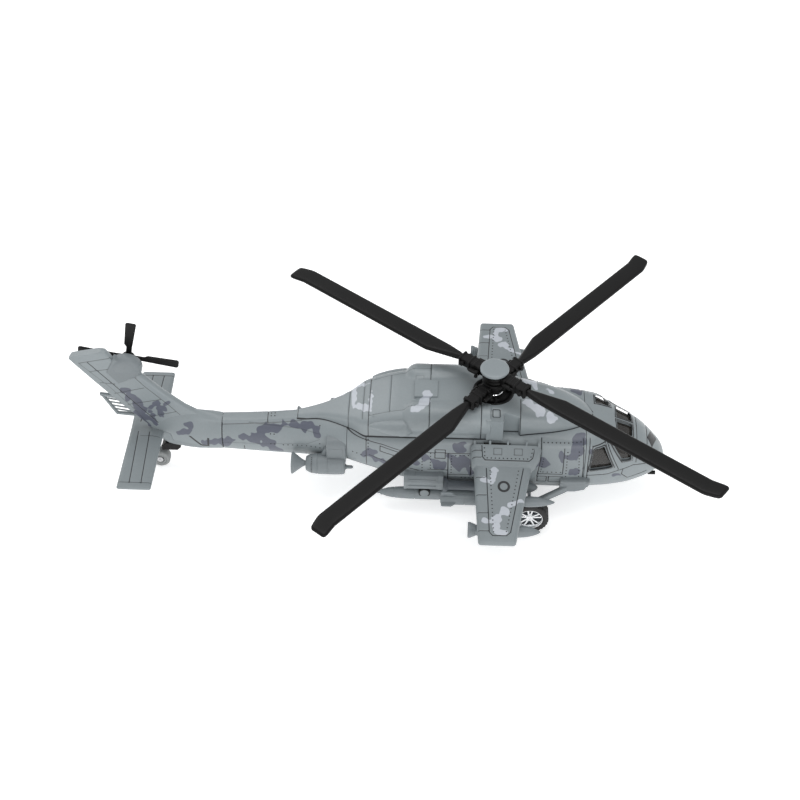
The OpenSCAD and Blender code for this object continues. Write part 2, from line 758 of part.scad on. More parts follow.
module tail_blade() {
    linear_extrude(1.1, center = true) polygon([
        [0, -1.5], [7.4, -1.4], [9.2, -2.6], [tail_rotor_r - 0.5, -2.8], [tail_rotor_r, -2.3],
        [tail_rotor_r, 1.9], [tail_rotor_r - 0.5, 2.3], [0, 1.4]
    ]);
}

tail_blade_turn = 11;

module tail_rotor() color(rotor_black) rotor_axis() translate([0, 0, tail_hub_off]) difference() {
    union() {
        cylinder(r = 3, h = 2.8, center = true);
        for (i = [0 : 3]) rotate([0, 0, tail_blade_turn + 90 * i]) tail_blade();
    }
    cylinder(r = tail_pin_r + run, h = 20, center = true);
}

module tail_wheel() color([0.6, 0.6, 0.6]) difference() {
    at_mast(tail_wheel_x, 0, tail_wheel_r) rotate([90, 0, 0]) rotate_extrude() polygon([
        [0, -1.4], [2, -1.4], [2.4, -2], [4.2, -2], [tail_wheel_r, -1.2],
        [tail_wheel_r, 1.2], [4.2, 2], [2.4, 2], [2, 1.4], [0, 1.4]
    ]);
    at_mast(tail_wheel_x, 0, tail_wheel_r) bar_y(0.6 + run, -5, 5, $fn = 24);
}

module tail_wheel_pin() color(steel) at_mast(tail_wheel_x, 0, tail_wheel_r) bar_y(0.6, -3.3, 3.3, $fn = 24);

module tail_bracket() color(rotor_black) difference() {
    union() {
        for (s = [-1, 1]) hull() {
            at_mast(tail_wheel_x, s * 2.75, tail_wheel_r) bar_y(1.5, -0.45, 0.45, $fn = 24);
            at_mast(-162.4, s * 2.75 - 0.45, 11.4) cube([7, 0.9, 2.6]);
        }
        at_mast(-163, -3.2, 11.2) cube([8, 6.4, 3]);
        at_mast(-160.9, -1.1, 13) cube([7.8, 2.2, 3.4]);
    }
    at_mast(tail_wheel_x, 0, tail_wheel_r) bar_y(0.6, -5, 5, $fn = 24);
    at_mast(tail_wheel_x, 0, tail_wheel_r) bar_y(tail_wheel_r + 0.5, -2.2, 2.2);
    loft([for (r = boom_ribs) if (r[0] < -140) r], -run);
}

// ======== Wheels and pull-back motor ========

module main_axle() color(steel) at_mast(axle_x, 0, tyre_r) bar_y(axle_r, -track_half + 1.6, track_half - 1.6);

module wheel_ring(points, port) {
    port_or_starboard(port) at_mast(axle_x, track_half - tyre_w / 2, tyre_r)
        rotate([-90, 0, 0]) rotate_extrude() polygon(points);
}

rim_r = 6.3;

module tyre(port) color([0.08, 0.08, 0.08]) wheel_ring([
    [rim_r, -tyre_w / 2 + 0.4], [tyre_r - 0.9, -tyre_w / 2], [tyre_r, -tyre_w / 2 + 0.9],
    [tyre_r, tyre_w / 2 - 0.9], [tyre_r - 0.9, tyre_w / 2], [rim_r, tyre_w / 2 - 0.4]
], port);

module rim(port) color(steel) port_or_starboard(port) difference() {
    union() {
        at_mast(axle_x, track_half - tyre_w / 2, tyre_r) rotate([-90, 0, 0]) {
            rotate_extrude() polygon([
                [rim_r - 1, -tyre_w / 2 + 0.6], [rim_r, -tyre_w / 2 + 0.6],
                [rim_r, tyre_w / 2 - 0.5], [rim_r - 1, tyre_w / 2 - 0.5]
            ]);
            cylinder(r = 1.9, h = tyre_w / 2 - 1);
            translate([0, 0, -tyre_w / 2 + 0.6]) cylinder(r = rim_r - 0.5, h = 2);
            for (i = [0 : 4], t = [-14, 14]) rotate([0, 0, 72 * i + 90 + t])
                translate([1.5, -0.4, 1]) cube([rim_r - 2, 0.8, 1.4]);
        }
    }
    at_mast(axle_x, 0, tyre_r) bar_y(axle_r, 10, track_half - 1.6);
}

module tyre_starboard() tyre(false);
module tyre_port() tyre(true);
module rim_starboard() rim(false);
module rim_port() rim(true);

// Involute gear outline with short teeth and a little backlash
pressure = 20;
function involute(a) = tan(a) * 180 / PI - a;
function tooth_half(r, teeth) =
    let (pitch_r = teeth * gear_m / 2, base_r = pitch_r * cos(pressure), c = max(r, base_r))
    90 / teeth - 1.4 / pitch_r + involute(pressure) - involute(acos(min(1, base_r / c)));
function gear_points(teeth) =
    let (
        pitch_r = teeth * gear_m / 2, root_r = pitch_r - 0.95 * gear_m, top_r = pitch_r + 0.65 * gear_m,
        radii = [root_r, max(root_r + 0.05, pitch_r * cos(pressure)), pitch_r, top_r]
    )
    [
        for (k = [0 : teeth - 1], i = [0 : 7])
            let (
                r = radii[i < 4 ? i : 7 - i],
                a = 360 * k / teeth + (i < 4 ? -1 : 1) * tooth_half(r, teeth)
            )
            [r * cos(a), r * sin(a)]
    ];

// A gear whose face runs from y0 to y1, turned about its axis by `turn`
module gear_y(teeth, turn, y0, y1) translate([0, y1, 0]) rotate([90, 0, 0])
    linear_extrude(y1 - y0) rotate(turn) polygon(gear_points(teeth));

module axle_gear() color("ivory") difference() {
    at_mast(axle_x, 0, tyre_r) gear_y(pinion_teeth, step_1_angle, 0.4, 0.4 + gear_w);
    at_mast(axle_x, 0, tyre_r) bar_y(axle_r, -10, 10);
}

module reduction_gear() color("ivory") at_mast(mid_x, 0, mid_z) {
    gear_y(wheel_teeth, step_1_angle + 180 + 180 / wheel_teeth, 0.6, 3.6);
    gear_y(pinion_teeth, step_2_angle, -4.6, 0.6);
    bar_y(shaft_r, motor_y0 + 0.3, motor_y1 - 0.3, $fn = 32);
}

module winding_gear() color("ivory") at_mast(wind_x, 0, wind_z) {
    gear_y(winding_teeth, step_2_angle + 180 + 180 / winding_teeth, -4.2, -0.8);
    bar_y(1.6, -0.8, 8);
    bar_y(shaft_r, motor_y0 + 0.3, motor_y1 - 0.3, $fn = 32);
}

spring_turns = 5;
spring_t = 0.35;
spring_in = 1.9;
spring_out = 6.4;
function spiral(offset) = [
    for (i = [0 : spring_turns * 18])
        let (f = i / (spring_turns * 18), r = spring_in + (spring_out - spring_in) * f + offset)
        [r * cos(20 * i), r * sin(20 * i)]
];
function reversed(list) = [for (i = [len(list) - 1 : -1 : 0]) list[i]];

module mainspring() color(steel) at_mast(wind_x, 7.8, wind_z) rotate([90, 0, 0])
    linear_extrude(3) polygon(concat(spiral(0), reversed(spiral(spring_t))));

module motor_outline(inset) {
    translate([motor_x0 + inset, motor_z0 + inset])
        square([motor_x1 - motor_x0 - 2 * inset, motor_z1 - motor_z0 - 2 * inset]);
}

module motor_shafts() {
    at_mast(axle_x, 0, tyre_r) bar_y(axle_r + run, -20, 20);
    at_mast(mid_x, 0, mid_z) bar_y(shaft_r + run, -20, 20, $fn = 32);
    at_mast(wind_x, 0, wind_z) bar_y(shaft_r + run, -20, 20, $fn = 32);
}

module motor_housing() color([0.2, 0.25, 0.4])
    at_mast(0, motor_y1 - motor_wall, 0) rotate([90, 0, 0])
        linear_extrude(motor_y1 - motor_y0 - motor_wall) difference() {
            motor_outline(0);
            motor_outline(motor_wall);
        }

module motor_cover() color([0.2, 0.25, 0.4]) difference() {
    union() {
        at_mast(0, motor_y1, 0) rotate([90, 0, 0]) linear_extrude(motor_wall) motor_outline(0);
        at_mast(0, motor_y0 + motor_wall, 0) rotate([90, 0, 0])
            linear_extrude(motor_wall) motor_outline(motor_wall + gap);
    }
    motor_shafts();
}

// ======== Sound unit ========

module push_button() color(pale_grey) {
    at_mast(button_x, 0, button_top - 2.6) cube([button_l, button_w, 5.2], center = true);
    at_mast(button_x, 0, button_top - 4.8) cube([button_l + 2, button_w + 2, 0.8], center = true);
    at_mast(button_x, 0, button_top - 5.2) cube([3, 3, 4.4], center = true);
}

module circuit_board() color([0.1, 0.35, 0.2]) {
    at_mast(-46, -8, board_z) cube([30, 16, 1]);
    at_mast(button_x - 2.5, -2.5, board_z + 1) cube([5, 5, 1.8]);
    at_mast(button_x - 0.8, -0.8, board_z + 2.8) cube([1.6, 1.6, 0.3]);
    at_mast(-24, -2, board_z + 1) cube([4, 4, 1.4]);
    for (x = [-44, -40]) at_mast(x, 4, board_z + 1) cube([1.6, 1, 0.6]);
}

module button_cells() color(steel) for (i = [0 : 2])
    at_mast(-36.6 + (cell_t + 0.1) * i, 0, cell_z - 1.2) bar_x(cell_r - 0.4, cell_t);

module battery_contacts() color("gold") {
    at_mast(-37.3, -2, 9) cube([0.5, 4, 8]);
    at_mast(-19.3, -2, 9) cube([0.5, 4, 8]);
}

module speaker() color([0.15, 0.15, 0.15]) {
    at_mast(speaker_x, 0, belly_z + wall + 0.5) cylinder(r = 6.1, h = 2.6);
    at_mast(speaker_x, 0, belly_z + wall + 3.1) cylinder(r = 3.4, h = 1.8);
}

module cockpit_led() color([1, 0.9, 0.8]) {
    at_mast(66, 0, 15.8) cylinder(r = 1.5, h = 3.4);
    at_mast(66, 0, 14.6) cylinder(r = 1.9, h = 1.2);
}

// Four screws through the belly plate and one through the battery cover's tab
module body_screws() color(steel) {
    for (x = body_screw_x, y = body_screw_y) at_mast(x, y, belly_z + 1.4) {
        cylinder(r = 1.9, h = 1.6, $fn = 24);
        cylinder(r = screw_r, h = 9, $fn = 24);
    }
    at_mast(cover_screw_x, 0, belly_z - 0.4) {
        cylinder(r = 1.6, h = 0.4, $fn = 24);
        cylinder(r = screw_r, h = 5, $fn = 24);
    }
}

cabin_shell();
cockpit_shell();
cockpit_glazing();
cockpit_interior();
upper_cowling();
tail_boom();
tail_fin();
tail_keel();
belly_plate();
battery_cover();
stabiliser();
stub_wing_starboard();
stub_wing_port();
missiles();
rocket_pods();
boom_pod_starboard();
boom_pod_port();
side_rack_starboard();
side_rack_port();
torpedoes();
gear_leg_starboard();
gear_leg_port();
chin_lights();
swashplate();
rotor_mast();
mast_collar();
hub_lower();
hub_upper();
blade_front_port();
blade_rear_port();
blade_rear_starboard();
blade_front_starboard();
pins_lower();
pins_upper();
rotor_cap();
tail_gearbox();
tail_rotor_axle();
tail_rotor();
main_axle();
tyre_starboard();
tyre_port();
rim_starboard();
rim_port();
axle_gear();
reduction_gear();
winding_gear();
mainspring();
motor_housing();
motor_cover();
tail_wheel();
tail_wheel_pin();
tail_bracket();
push_button();
circuit_board();
button_cells();
battery_contacts();
speaker();
cockpit_led();
body_screws();
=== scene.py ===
"""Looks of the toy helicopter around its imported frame.

Lengths below are millimetres measured from the rotor mast (x), the centre line (y) and the
ground (z); place() turns them into metres in the frame. Starboard is -y.
"""
import math

import bmesh
import bpy
import numpy as np
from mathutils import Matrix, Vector, noise


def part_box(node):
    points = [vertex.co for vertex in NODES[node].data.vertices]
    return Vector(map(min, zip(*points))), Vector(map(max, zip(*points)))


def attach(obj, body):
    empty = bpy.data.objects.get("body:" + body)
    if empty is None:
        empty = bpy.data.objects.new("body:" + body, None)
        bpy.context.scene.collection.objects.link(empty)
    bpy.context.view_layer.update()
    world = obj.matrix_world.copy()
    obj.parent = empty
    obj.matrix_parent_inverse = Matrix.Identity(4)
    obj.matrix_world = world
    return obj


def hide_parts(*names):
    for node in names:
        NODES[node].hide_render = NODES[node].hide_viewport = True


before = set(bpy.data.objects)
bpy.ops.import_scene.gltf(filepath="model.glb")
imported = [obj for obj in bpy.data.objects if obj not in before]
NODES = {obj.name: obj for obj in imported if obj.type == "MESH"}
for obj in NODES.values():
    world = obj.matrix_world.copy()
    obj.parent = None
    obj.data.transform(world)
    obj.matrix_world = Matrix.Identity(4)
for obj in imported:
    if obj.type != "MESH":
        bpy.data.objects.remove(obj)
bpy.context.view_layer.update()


def centre(node):
    low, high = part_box(node)
    return (low + high) / 2


MAST = centre("rotor_mast").x * 1000
STARBOARD, PORT = -1, 1
SIDE_WORDS = ((STARBOARD, "starboard"), (PORT, "port"))
XZ, XY = [0, 2], [0, 1]             # coordinates that a side view and a top view show
FIELDS = ("line_s", "line_a", "ink_w", "ink", "dark", "light")
FAR = 9.0                           # a field's value where no line or patch is near
UP = (0, 0, 1)


# ---------------------------------------------------------------- numbers and sections

def pchip(xs, ys, x):
    """Monotone cubic through (xs, ys)."""
    xs, ys, x = (np.asarray(v, float) for v in (xs, ys, x))
    h = np.diff(xs)
    d = np.diff(ys) / h
    m = np.zeros_like(ys)
    for i in range(1, len(xs) - 1):
        if d[i - 1] * d[i] > 0:
            a, b = 2 * h[i] + h[i - 1], h[i] + 2 * h[i - 1]
            m[i] = (a + b) / (a / d[i - 1] + b / d[i])
    m[0], m[-1] = d[0], d[-1]
    k = np.clip(np.searchsorted(xs, x, side="right") - 1, 0, len(xs) - 2)
    t = (x - xs[k]) / h[k]
    return (ys[k] * (1 + 2 * t) * (1 - t) ** 2 + m[k] * h[k] * t * (1 - t) ** 2
            + ys[k + 1] * t * t * (3 - 2 * t) + m[k + 1] * h[k] * t * t * (t - 1))


def step(a, b, x):
    t = np.clip((x - a) / (b - a), 0, 1)
    return t * t * (3 - 2 * t)


def spread(a, b, gap, extra=()):
    """Stations from a to b about `gap` apart, with the extra ones and a pair around each."""
    base = list(np.linspace(a, b, max(2, int(round(abs(b - a) / gap)) + 1)))
    for e in extra:
        base = [v for v in base if abs(v - e) > gap * 0.6] + [e - gap * 0.45, e, e + gap * 0.45]
    return np.array(sorted(v for v in base if min(a, b) <= v <= max(a, b)))


def ellipse_sections(xs, ribs, n, inset=0.0):
    """Grid of superellipse rings, n points each, starting below and running up the port side."""
    ribs = np.array(ribs, float)
    par = [pchip(ribs[:, 0], ribs[:, i], xs) for i in range(1, 7)]
    half, top, low, mid, p_top, p_low = par
    half, top, low = half - inset, top - inset, low + inset
    a = np.radians(np.linspace(-90, 90, 361))
    rows = []
    for i in range(len(xs)):
        c, s = np.cos(a), np.sin(a)
        p = np.where(s >= 0, p_top[i], p_low[i])
        y = half[i] * np.maximum(c, 0) ** (2 / p)
        z = mid[i] + np.where(s >= 0, top[i] - mid[i], mid[i] - low[i]) * np.sign(s) * np.abs(s) ** (2 / p)
        d = np.r_[0, np.cumsum(np.hypot(np.diff(y), np.diff(z)))]
        k = np.linspace(0, 1, n // 2 + 1)
        k = np.where(k < 0.12, k * 2.2, 0.264 + (k - 0.12) * (0.736 / 0.88))   # coarser underneath
        yy, zz = np.interp(k * d[-1], d, y), np.interp(k * d[-1], d, z)
        ring_y = np.r_[yy, -yy[-2:0:-1]]
        ring_z = np.r_[zz, zz[-2:0:-1]]
        rows.append(np.c_[np.full(len(ring_y), xs[i]), ring_y, ring_z])
    return np.array(rows)


# ---------------------------------------------------------------- meshes

def place(points):
    p = np.array(points, float).reshape(-1, 3).copy()
    p[:, 0] += MAST
    return p * 0.001


def new_object(name, points, faces):
    """A linked mesh object from points in metres."""
    me = bpy.data.meshes.new(name)
    me.from_pydata([tuple(p) for p in points], [], [tuple(int(i) for i in f) for f in faces])
    ob = bpy.data.objects.new(name, me)
    bpy.context.scene.collection.objects.link(ob)
    return ob


def mesh_object(name, verts, faces, body, node, material, smooth=35, attrs=None):
    """A piece from mast-relative millimetres."""
    ob = new_object(name, place(verts), faces)
    me = ob.data
    me.validate()
    me.update()
    for key, values in (attrs or {}).items():
        me.attributes.new(key, "FLOAT", "POINT").data.foreach_set("value", np.asarray(values, np.float32))
    me.shade_smooth()
    me.set_sharp_from_angle(angle=math.radians(smooth))
    me.materials.append(material)
    finish_piece(ob, body, node)
    return ob


def finish_piece(ob, body, node):
    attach(ob, body)
    if node:
        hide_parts(node)


def soften(ob, width):
    """Rounds the edges with a bevel of so many millimetres."""
    mod = ob.modifiers.new("edges", "BEVEL")
    mod.width = width * 0.001
    mod.segments = 3
    return mod


def round_corners(poly, r, n=4):
    """The polygon with each corner turned into an arc."""
    out = []
    m = len(poly)
    for i in range(m):
        p0, p1, p2 = (np.array(poly[(i + k) % m], float) for k in (-1, 0, 1))
        a, b = (p0 - p1) / np.linalg.norm(p0 - p1), (p2 - p1) / np.linalg.norm(p2 - p1)
        half = math.acos(np.clip(a.dot(b), -1, 1)) / 2
        t = min(r / math.tan(half), 0.45 * np.linalg.norm(p0 - p1), 0.45 * np.linalg.norm(p2 - p1))
        s, e = p1 + a * t, p1 + b * t
        for k in range(n + 1):
            w = k / n
            out.append(tuple((1 - w) ** 2 * s + 2 * w * (1 - w) * p1 + w * w * e))
    return out


def grid_faces(ns, nv, start=0, flip=False):
    """Quads between ns closed rings of nv points."""
    i = np.arange(ns - 1)[:, None] * nv
    j = np.arange(nv)[None, :]
    k = (j + 1) % nv
    f = np.stack([i + j, i + nv + j, i + nv + k, i + k], -1).reshape(-1, 4) + start
    return f[:, ::-1] if flip else f


def fan(ring, centre_index, flip=False):
    """Triangles that close a ring on to its centre point."""
    n = len(ring)
    f = [(ring[i], ring[(i + 1) % n], centre_index) for i in range(n)]
    return [t[::-1] for t in f] if flip else f


PAINTED = []


def shaped_like_paint(ob):
    """Gives a mesh without paint fields ones that say 'no patch, no line'."""
    for key in FIELDS:
        if key not in ob.data.attributes:
            att = ob.data.attributes.new(key, "FLOAT", "POINT")
            att.data.foreach_set("value", np.full(len(ob.data.vertices), FAR, np.float32))


def lathe(name, profile, at, axis, body, node, slot, material, n=32, smooth=40, closed=False):
    """A turned piece: profile points (radius, distance along the axis)."""
    axis = Vector(axis).normalized()
    side = axis.orthogonal().normalized()
    other = axis.cross(side)
    verts, faces, rows = [], [], []
    for r, h in profile:
        row = []
        for i in range(1 if r < 1e-6 else n):
            a = math.tau * i / n
            verts.append(tuple(Vector(at) + axis * h + (side * math.cos(a) + other * math.sin(a)) * r))
            row.append(len(verts) - 1)
        rows.append(row)
    for a, b in list(zip(rows, rows[1:])) + ([(rows[-1], rows[0])] if closed else []):
        for i in range(n):
            k = (i + 1) % n
            quad = [a[i % len(a)], b[i % len(b)], b[k % len(b)], a[k % len(a)]]
            quad = [v for j, v in enumerate(quad) if v != quad[j - 1]]
            if len(quad) > 2:
                faces.append(tuple(quad[::-1]))
    if not closed:
        for row, turn in ((rows[0], False), (rows[-1], True)):
            if len(row) > 1:
                faces.append(tuple(row if turn else row[::-1]))
    ob = mesh_object(name, verts, faces, body, node, material, smooth)
    if material in PAINTED:
        shaped_like_paint(ob)
    return ob


class Skin:
    """A closed-ring grid surface that can be engraved, raised and painted point by point."""

    def __init__(self, points, gap):
        self.p = np.array(points, float)
        self.gap = gap
        shape = self.p.shape[:2]
        for field in FIELDS:
            setattr(self, field, np.full(shape, FAR))
        self.ink_w = np.ones(shape)
        self.carve, self.lift = np.zeros(shape), np.zeros(shape)
        self.n = self.normals()

    def normals(self):
        du = np.gradient(self.p, axis=0)
        dv = np.roll(self.p, -1, 1) - np.roll(self.p, 1, 1)
        n = np.cross(dv, du)
        n /= np.linalg.norm(n, axis=2, keepdims=True) + 1e-12
        mid = self.p.mean(axis=1, keepdims=True)
        if ((self.p - mid) * n).sum() < 0:
            n = -n
        return n

    def facing(self, axis, sign, least=0.3):
        return self.n[..., axis] * sign > least

    def line(self, pts, axes, mask, depth=0.22, reach=0.6, closed=False, ink=1.0, width=0.34):
        """Engraves a polyline given in the two named coordinates, with ink run into it."""
        pts = [np.array(q, float) for q in pts]
        pairs = list(zip(pts, pts[1:] + ([pts[0]] if closed else [])))
        for a, b in pairs:
            length = np.linalg.norm(b - a)
            if length < 1e-6:
                continue
            d = (b - a) / length
            nrm = np.array([-d[1], d[0]])
            q = self.p[..., axes] - a
            t = q @ d
            s = q @ nrm
            near = mask & (t > -0.2) & (t < length + 0.2) & (np.abs(s) < 3)
            snap = near & (np.abs(s) < self.gap * reach) & (self.line_a > 0.06)
            move = np.zeros_like(self.p)
            move[..., axes[0]] = -s * nrm[0]
            move[..., axes[1]] = -s * nrm[1]
            move -= (move * self.n).sum(-1, keepdims=True) * self.n
            self.p[snap] += move[snap]
            s2 = (self.p[..., axes] - a) @ nrm
            groove = np.clip(1 - np.abs(s2) / width, 0, 1) * depth
            self.carve = np.maximum(self.carve, np.where(near, groove, 0))
            if ink:
                better = near & (np.abs(s2) < self.line_a)
                self.line_s[better] = s2[better]
                self.line_a[better] = np.abs(s2)[better]
                self.ink_w[better] = ink

    def lines(self, axes, mask, depth, *paths, **more):
        """Engraves several polylines alike."""
        for pts in paths:
            self.line(pts, axes, mask, depth, **more)

    def mark(self, distance, mask=True):
        """Prints ink where the distance is below nought."""
        self.ink = np.minimum(self.ink, np.where(mask, distance, FAR))

    def panel(self, poly, axes, mask, height, soft=0.5):
        """Raises or sinks the inside of a convex polygon."""
        inside = self.inside(poly, axes)
        amount = height * step(-soft, soft * 0.2, inside)
        self.lift += np.where(mask, amount, 0)

    def inside(self, poly, axes):
        """Distance inside a convex polygon; negative outside."""
        poly = np.array(poly, float)
        area = 0.5 * sum(poly[i][0] * poly[(i + 1) % len(poly)][1] - poly[(i + 1) % len(poly)][0] * poly[i][1]
                         for i in range(len(poly)))
        best = np.full(self.p.shape[:2], 1e9)
        for a, b in zip(poly, np.roll(poly, -1, 0)):
            d = (b - a) / np.linalg.norm(b - a)
            nrm = np.array([-d[1], d[0]]) * (1 if area > 0 else -1)
            best = np.minimum(best, (self.p[..., axes] - a) @ nrm)
        return best

    def paint(self, channel, blobs, coords, mask=None, seed=0.0, ragged=0.9, scale=0.35):
        """Soft-edged patches: ellipses (u, v, half length, half width, tilt in degrees)."""
        field = getattr(self, channel)
        u, v = coords
        near = np.full(u.shape, 99.0)
        for bu, bv, ru, rv, tilt in blobs:
            c, s = math.cos(math.radians(tilt)), math.sin(math.radians(tilt))
            x, y = (u - bu) * c + (v - bv) * s, -(u - bu) * s + (v - bv) * c
            g = np.sqrt((x / ru) ** 2 + (y / rv) ** 2) + 1e-9
            near = blend_min(near, (g - 1) * min(ru, rv), 0.5)
        close = near < 3
        idx = np.argwhere(close)
        wob = np.array([noise.noise(Vector((u[i, j] * scale, v[i, j] * scale, seed))) for i, j in idx])
        if len(idx):
            near[close] += wob * ragged * 2
        if mask is not None:
            near = np.where(mask, near, FAR)
        setattr(self, channel, np.minimum(field, near))

    def build(self, name, body, node, slot, material, smooth=40, inner=None, caps=(True, True)):
        self.n = self.normals()
        p = self.p + self.n * (self.lift - self.carve)[..., None]
        ns, nv = p.shape[:2]
        verts = [p.reshape(-1, 3)]
        faces = [tuple(f) for f in grid_faces(ns, nv)]
        attrs = {k: [getattr(self, k).reshape(-1)] for k in FIELDS}
        count = ns * nv

        def extra(points):
            nonlocal count
            points = np.array(points, float).reshape(-1, 3)
            verts.append(points)
            for k in attrs:
                attrs[k].append(np.full(len(points), FAR))
            count += len(points)
            return count - len(points)

        first, last = list(range(nv)), list(range((ns - 1) * nv, ns * nv))
        if inner is not None:
            q = np.array(inner, float)
            base = extra(q)
            m = q.shape[0]
            faces += [tuple(f) for f in grid_faces(m, nv, base, flip=True)]
            i_first, i_last = list(range(base, base + nv)), list(range(base + (m - 1) * nv, base + m * nv))
            ends = ((first, i_first, caps[0], False), (last, i_last, caps[1], True))
            for outer_ring, inner_ring, cap, turn in ends:
                if cap:
                    for ring, way in ((outer_ring, not turn), (inner_ring, turn)):
                        c = extra(np.concatenate([verts[0], *verts[1:]])[ring].mean(0))
                        faces += fan(ring, c, flip=way)
                else:
                    for i in range(nv):
                        k = (i + 1) % nv
                        quad = (outer_ring[i], outer_ring[k], inner_ring[k], inner_ring[i])
                        faces.append(quad[::-1] if turn else quad)
        else:
            for ring, cap, turn in ((first, caps[0], False), (last, caps[1], True)):
                if cap:
                    c = extra(verts[0][ring].mean(0))
                    faces += fan(ring, c, flip=not turn)
        return mesh_object(name, np.concatenate(verts), faces, body, node, material, smooth,
                           {k: np.concatenate(a) for k, a in attrs.items()})

    def surface_point(self, uv, axes, mask):
        """The masked surface's point nearest to uv in the two named coordinates, and its normal."""
        q = self.p[..., axes] - np.array(uv, float)
        d = (q ** 2).sum(-1)
        d = np.where(mask, d, 1e9)
        i, j = np.unravel_index(np.argmin(d), d.shape)
        point = self.p[i, j] + self.n[i, j] * self.lift[i, j]
        miss = np.zeros(3)
        miss[axes[0]], miss[axes[1]] = -q[i, j]
        miss -= miss.dot(self.n[i, j]) * self.n[i, j]
        return point + miss, self.n[i, j]


def blend_min(a, b, k):
    """The smaller of two distances, with the corner between them rounded over k."""
    h = np.clip(0.5 + 0.5 * (b - a) / k, 0, 1)
    return b + (a - b) * h - k * h * (1 - h)


RIVETS = {}


RIVET_HIGH = 0.13


def rivet(body, point, normal, r=0.34):
    """A small domed rivet, kept until the end, where each body's rivets become one mesh."""
    verts, faces = RIVETS.setdefault(body, ([], []))
    n = Vector(normal).normalized()
    t = n.orthogonal().normalized()
    b = n.cross(t)
    p = Vector(point)
    base = len(verts)
    for rr, hh in ((1.0, -0.2), (1.0, 0.3), (0.62, 0.8)):
        for i in range(8):
            a = math.tau * i / 8
            verts.append(tuple(p + (t * math.cos(a) + b * math.sin(a)) * r * rr + n * RIVET_HIGH * hh))
    verts.append(tuple(p + n * RIVET_HIGH))
    for ring in range(2):
        for i in range(8):
            k = (i + 1) % 8
            faces.append(tuple(base + ring * 8 + v for v in (i, k, 8 + k, 8 + i)))
    for i in range(8):
        faces.append((base + 16 + i, base + 16 + (i + 1) % 8, base + 24))
    faces.append(tuple(base + i for i in range(7, -1, -1)))


def rivet_row(skin, body, a, b, axes, mask, gap=1.9, r=0.34):
    a, b = np.array(a, float), np.array(b, float)
    n = max(1, int(round(np.linalg.norm(b - a) / gap)))
    for i in range(n + 1):
        p, nrm = skin.surface_point(a + (b - a) * i / n, axes, mask)
        rivet(body, p, nrm, r)


# ---------------------------------------------------------------- materials

def new_material(name):
    mat = bpy.data.materials.new(name)
    mat.use_nodes = True
    nt = mat.node_tree
    return mat, nt, nt.nodes["Principled BSDF"]


def link(nt, a, b):
    nt.links.new(a, b)


def math_node(nt, op, a, b=None, clamp=False):
    m = nt.nodes.new("ShaderNodeMath")
    m.operation = op
    m.use_clamp = clamp
    for i, v in enumerate((a, b)):
        if v is None:
            continue
        if isinstance(v, (int, float)):
            m.inputs[i].default_value = v
        else:
            link(nt, v, m.inputs[i])
    return m.outputs[0]


def ramp(nt, value, lo, hi, a=0.0, b=1.0):
    r = nt.nodes.new("ShaderNodeMapRange")
    r.inputs["From Min"].default_value = lo
    r.inputs["From Max"].default_value = hi
    r.inputs["To Min"].default_value = a
    r.inputs["To Max"].default_value = b
    link(nt, value, r.inputs["Value"])
    return r.outputs[0]


def mix_colour(nt, fac, a, b):
    m = nt.nodes.new("ShaderNodeMix")
    m.data_type = "RGBA"
    for sock, v in ((m.inputs[0], fac), (m.inputs[6], a), (m.inputs[7], b)):
        if isinstance(v, (int, float)):
            sock.default_value = v
        elif isinstance(v, tuple):
            sock.default_value = (*v, 1)
        else:
            link(nt, v, sock)
    return m.outputs[2]


def noise_tex(nt, scale, detail=3.0, rough=0.5):
    co = nt.nodes.new("ShaderNodeTexCoord")
    n = nt.nodes.new("ShaderNodeTexNoise")
    n.inputs["Scale"].default_value = scale
    n.inputs["Detail"].default_value = detail
    n.inputs["Roughness"].default_value = rough
    link(nt, co.outputs["Object"], n.inputs["Vector"])
    return n.outputs["Fac"]


def attribute(nt, key):
    a = nt.nodes.new("ShaderNodeAttribute")
    a.attribute_name = key
    return a.outputs["Fac"]


def grained(nt, fine, colour, low, high):
    """A colour that the fine noise varies between two strengths."""
    return mix_colour(nt, ramp(nt, fine, 0.3, 0.7), tuple(c * low for c in colour),
                      tuple(min(1, c * high) for c in colour))


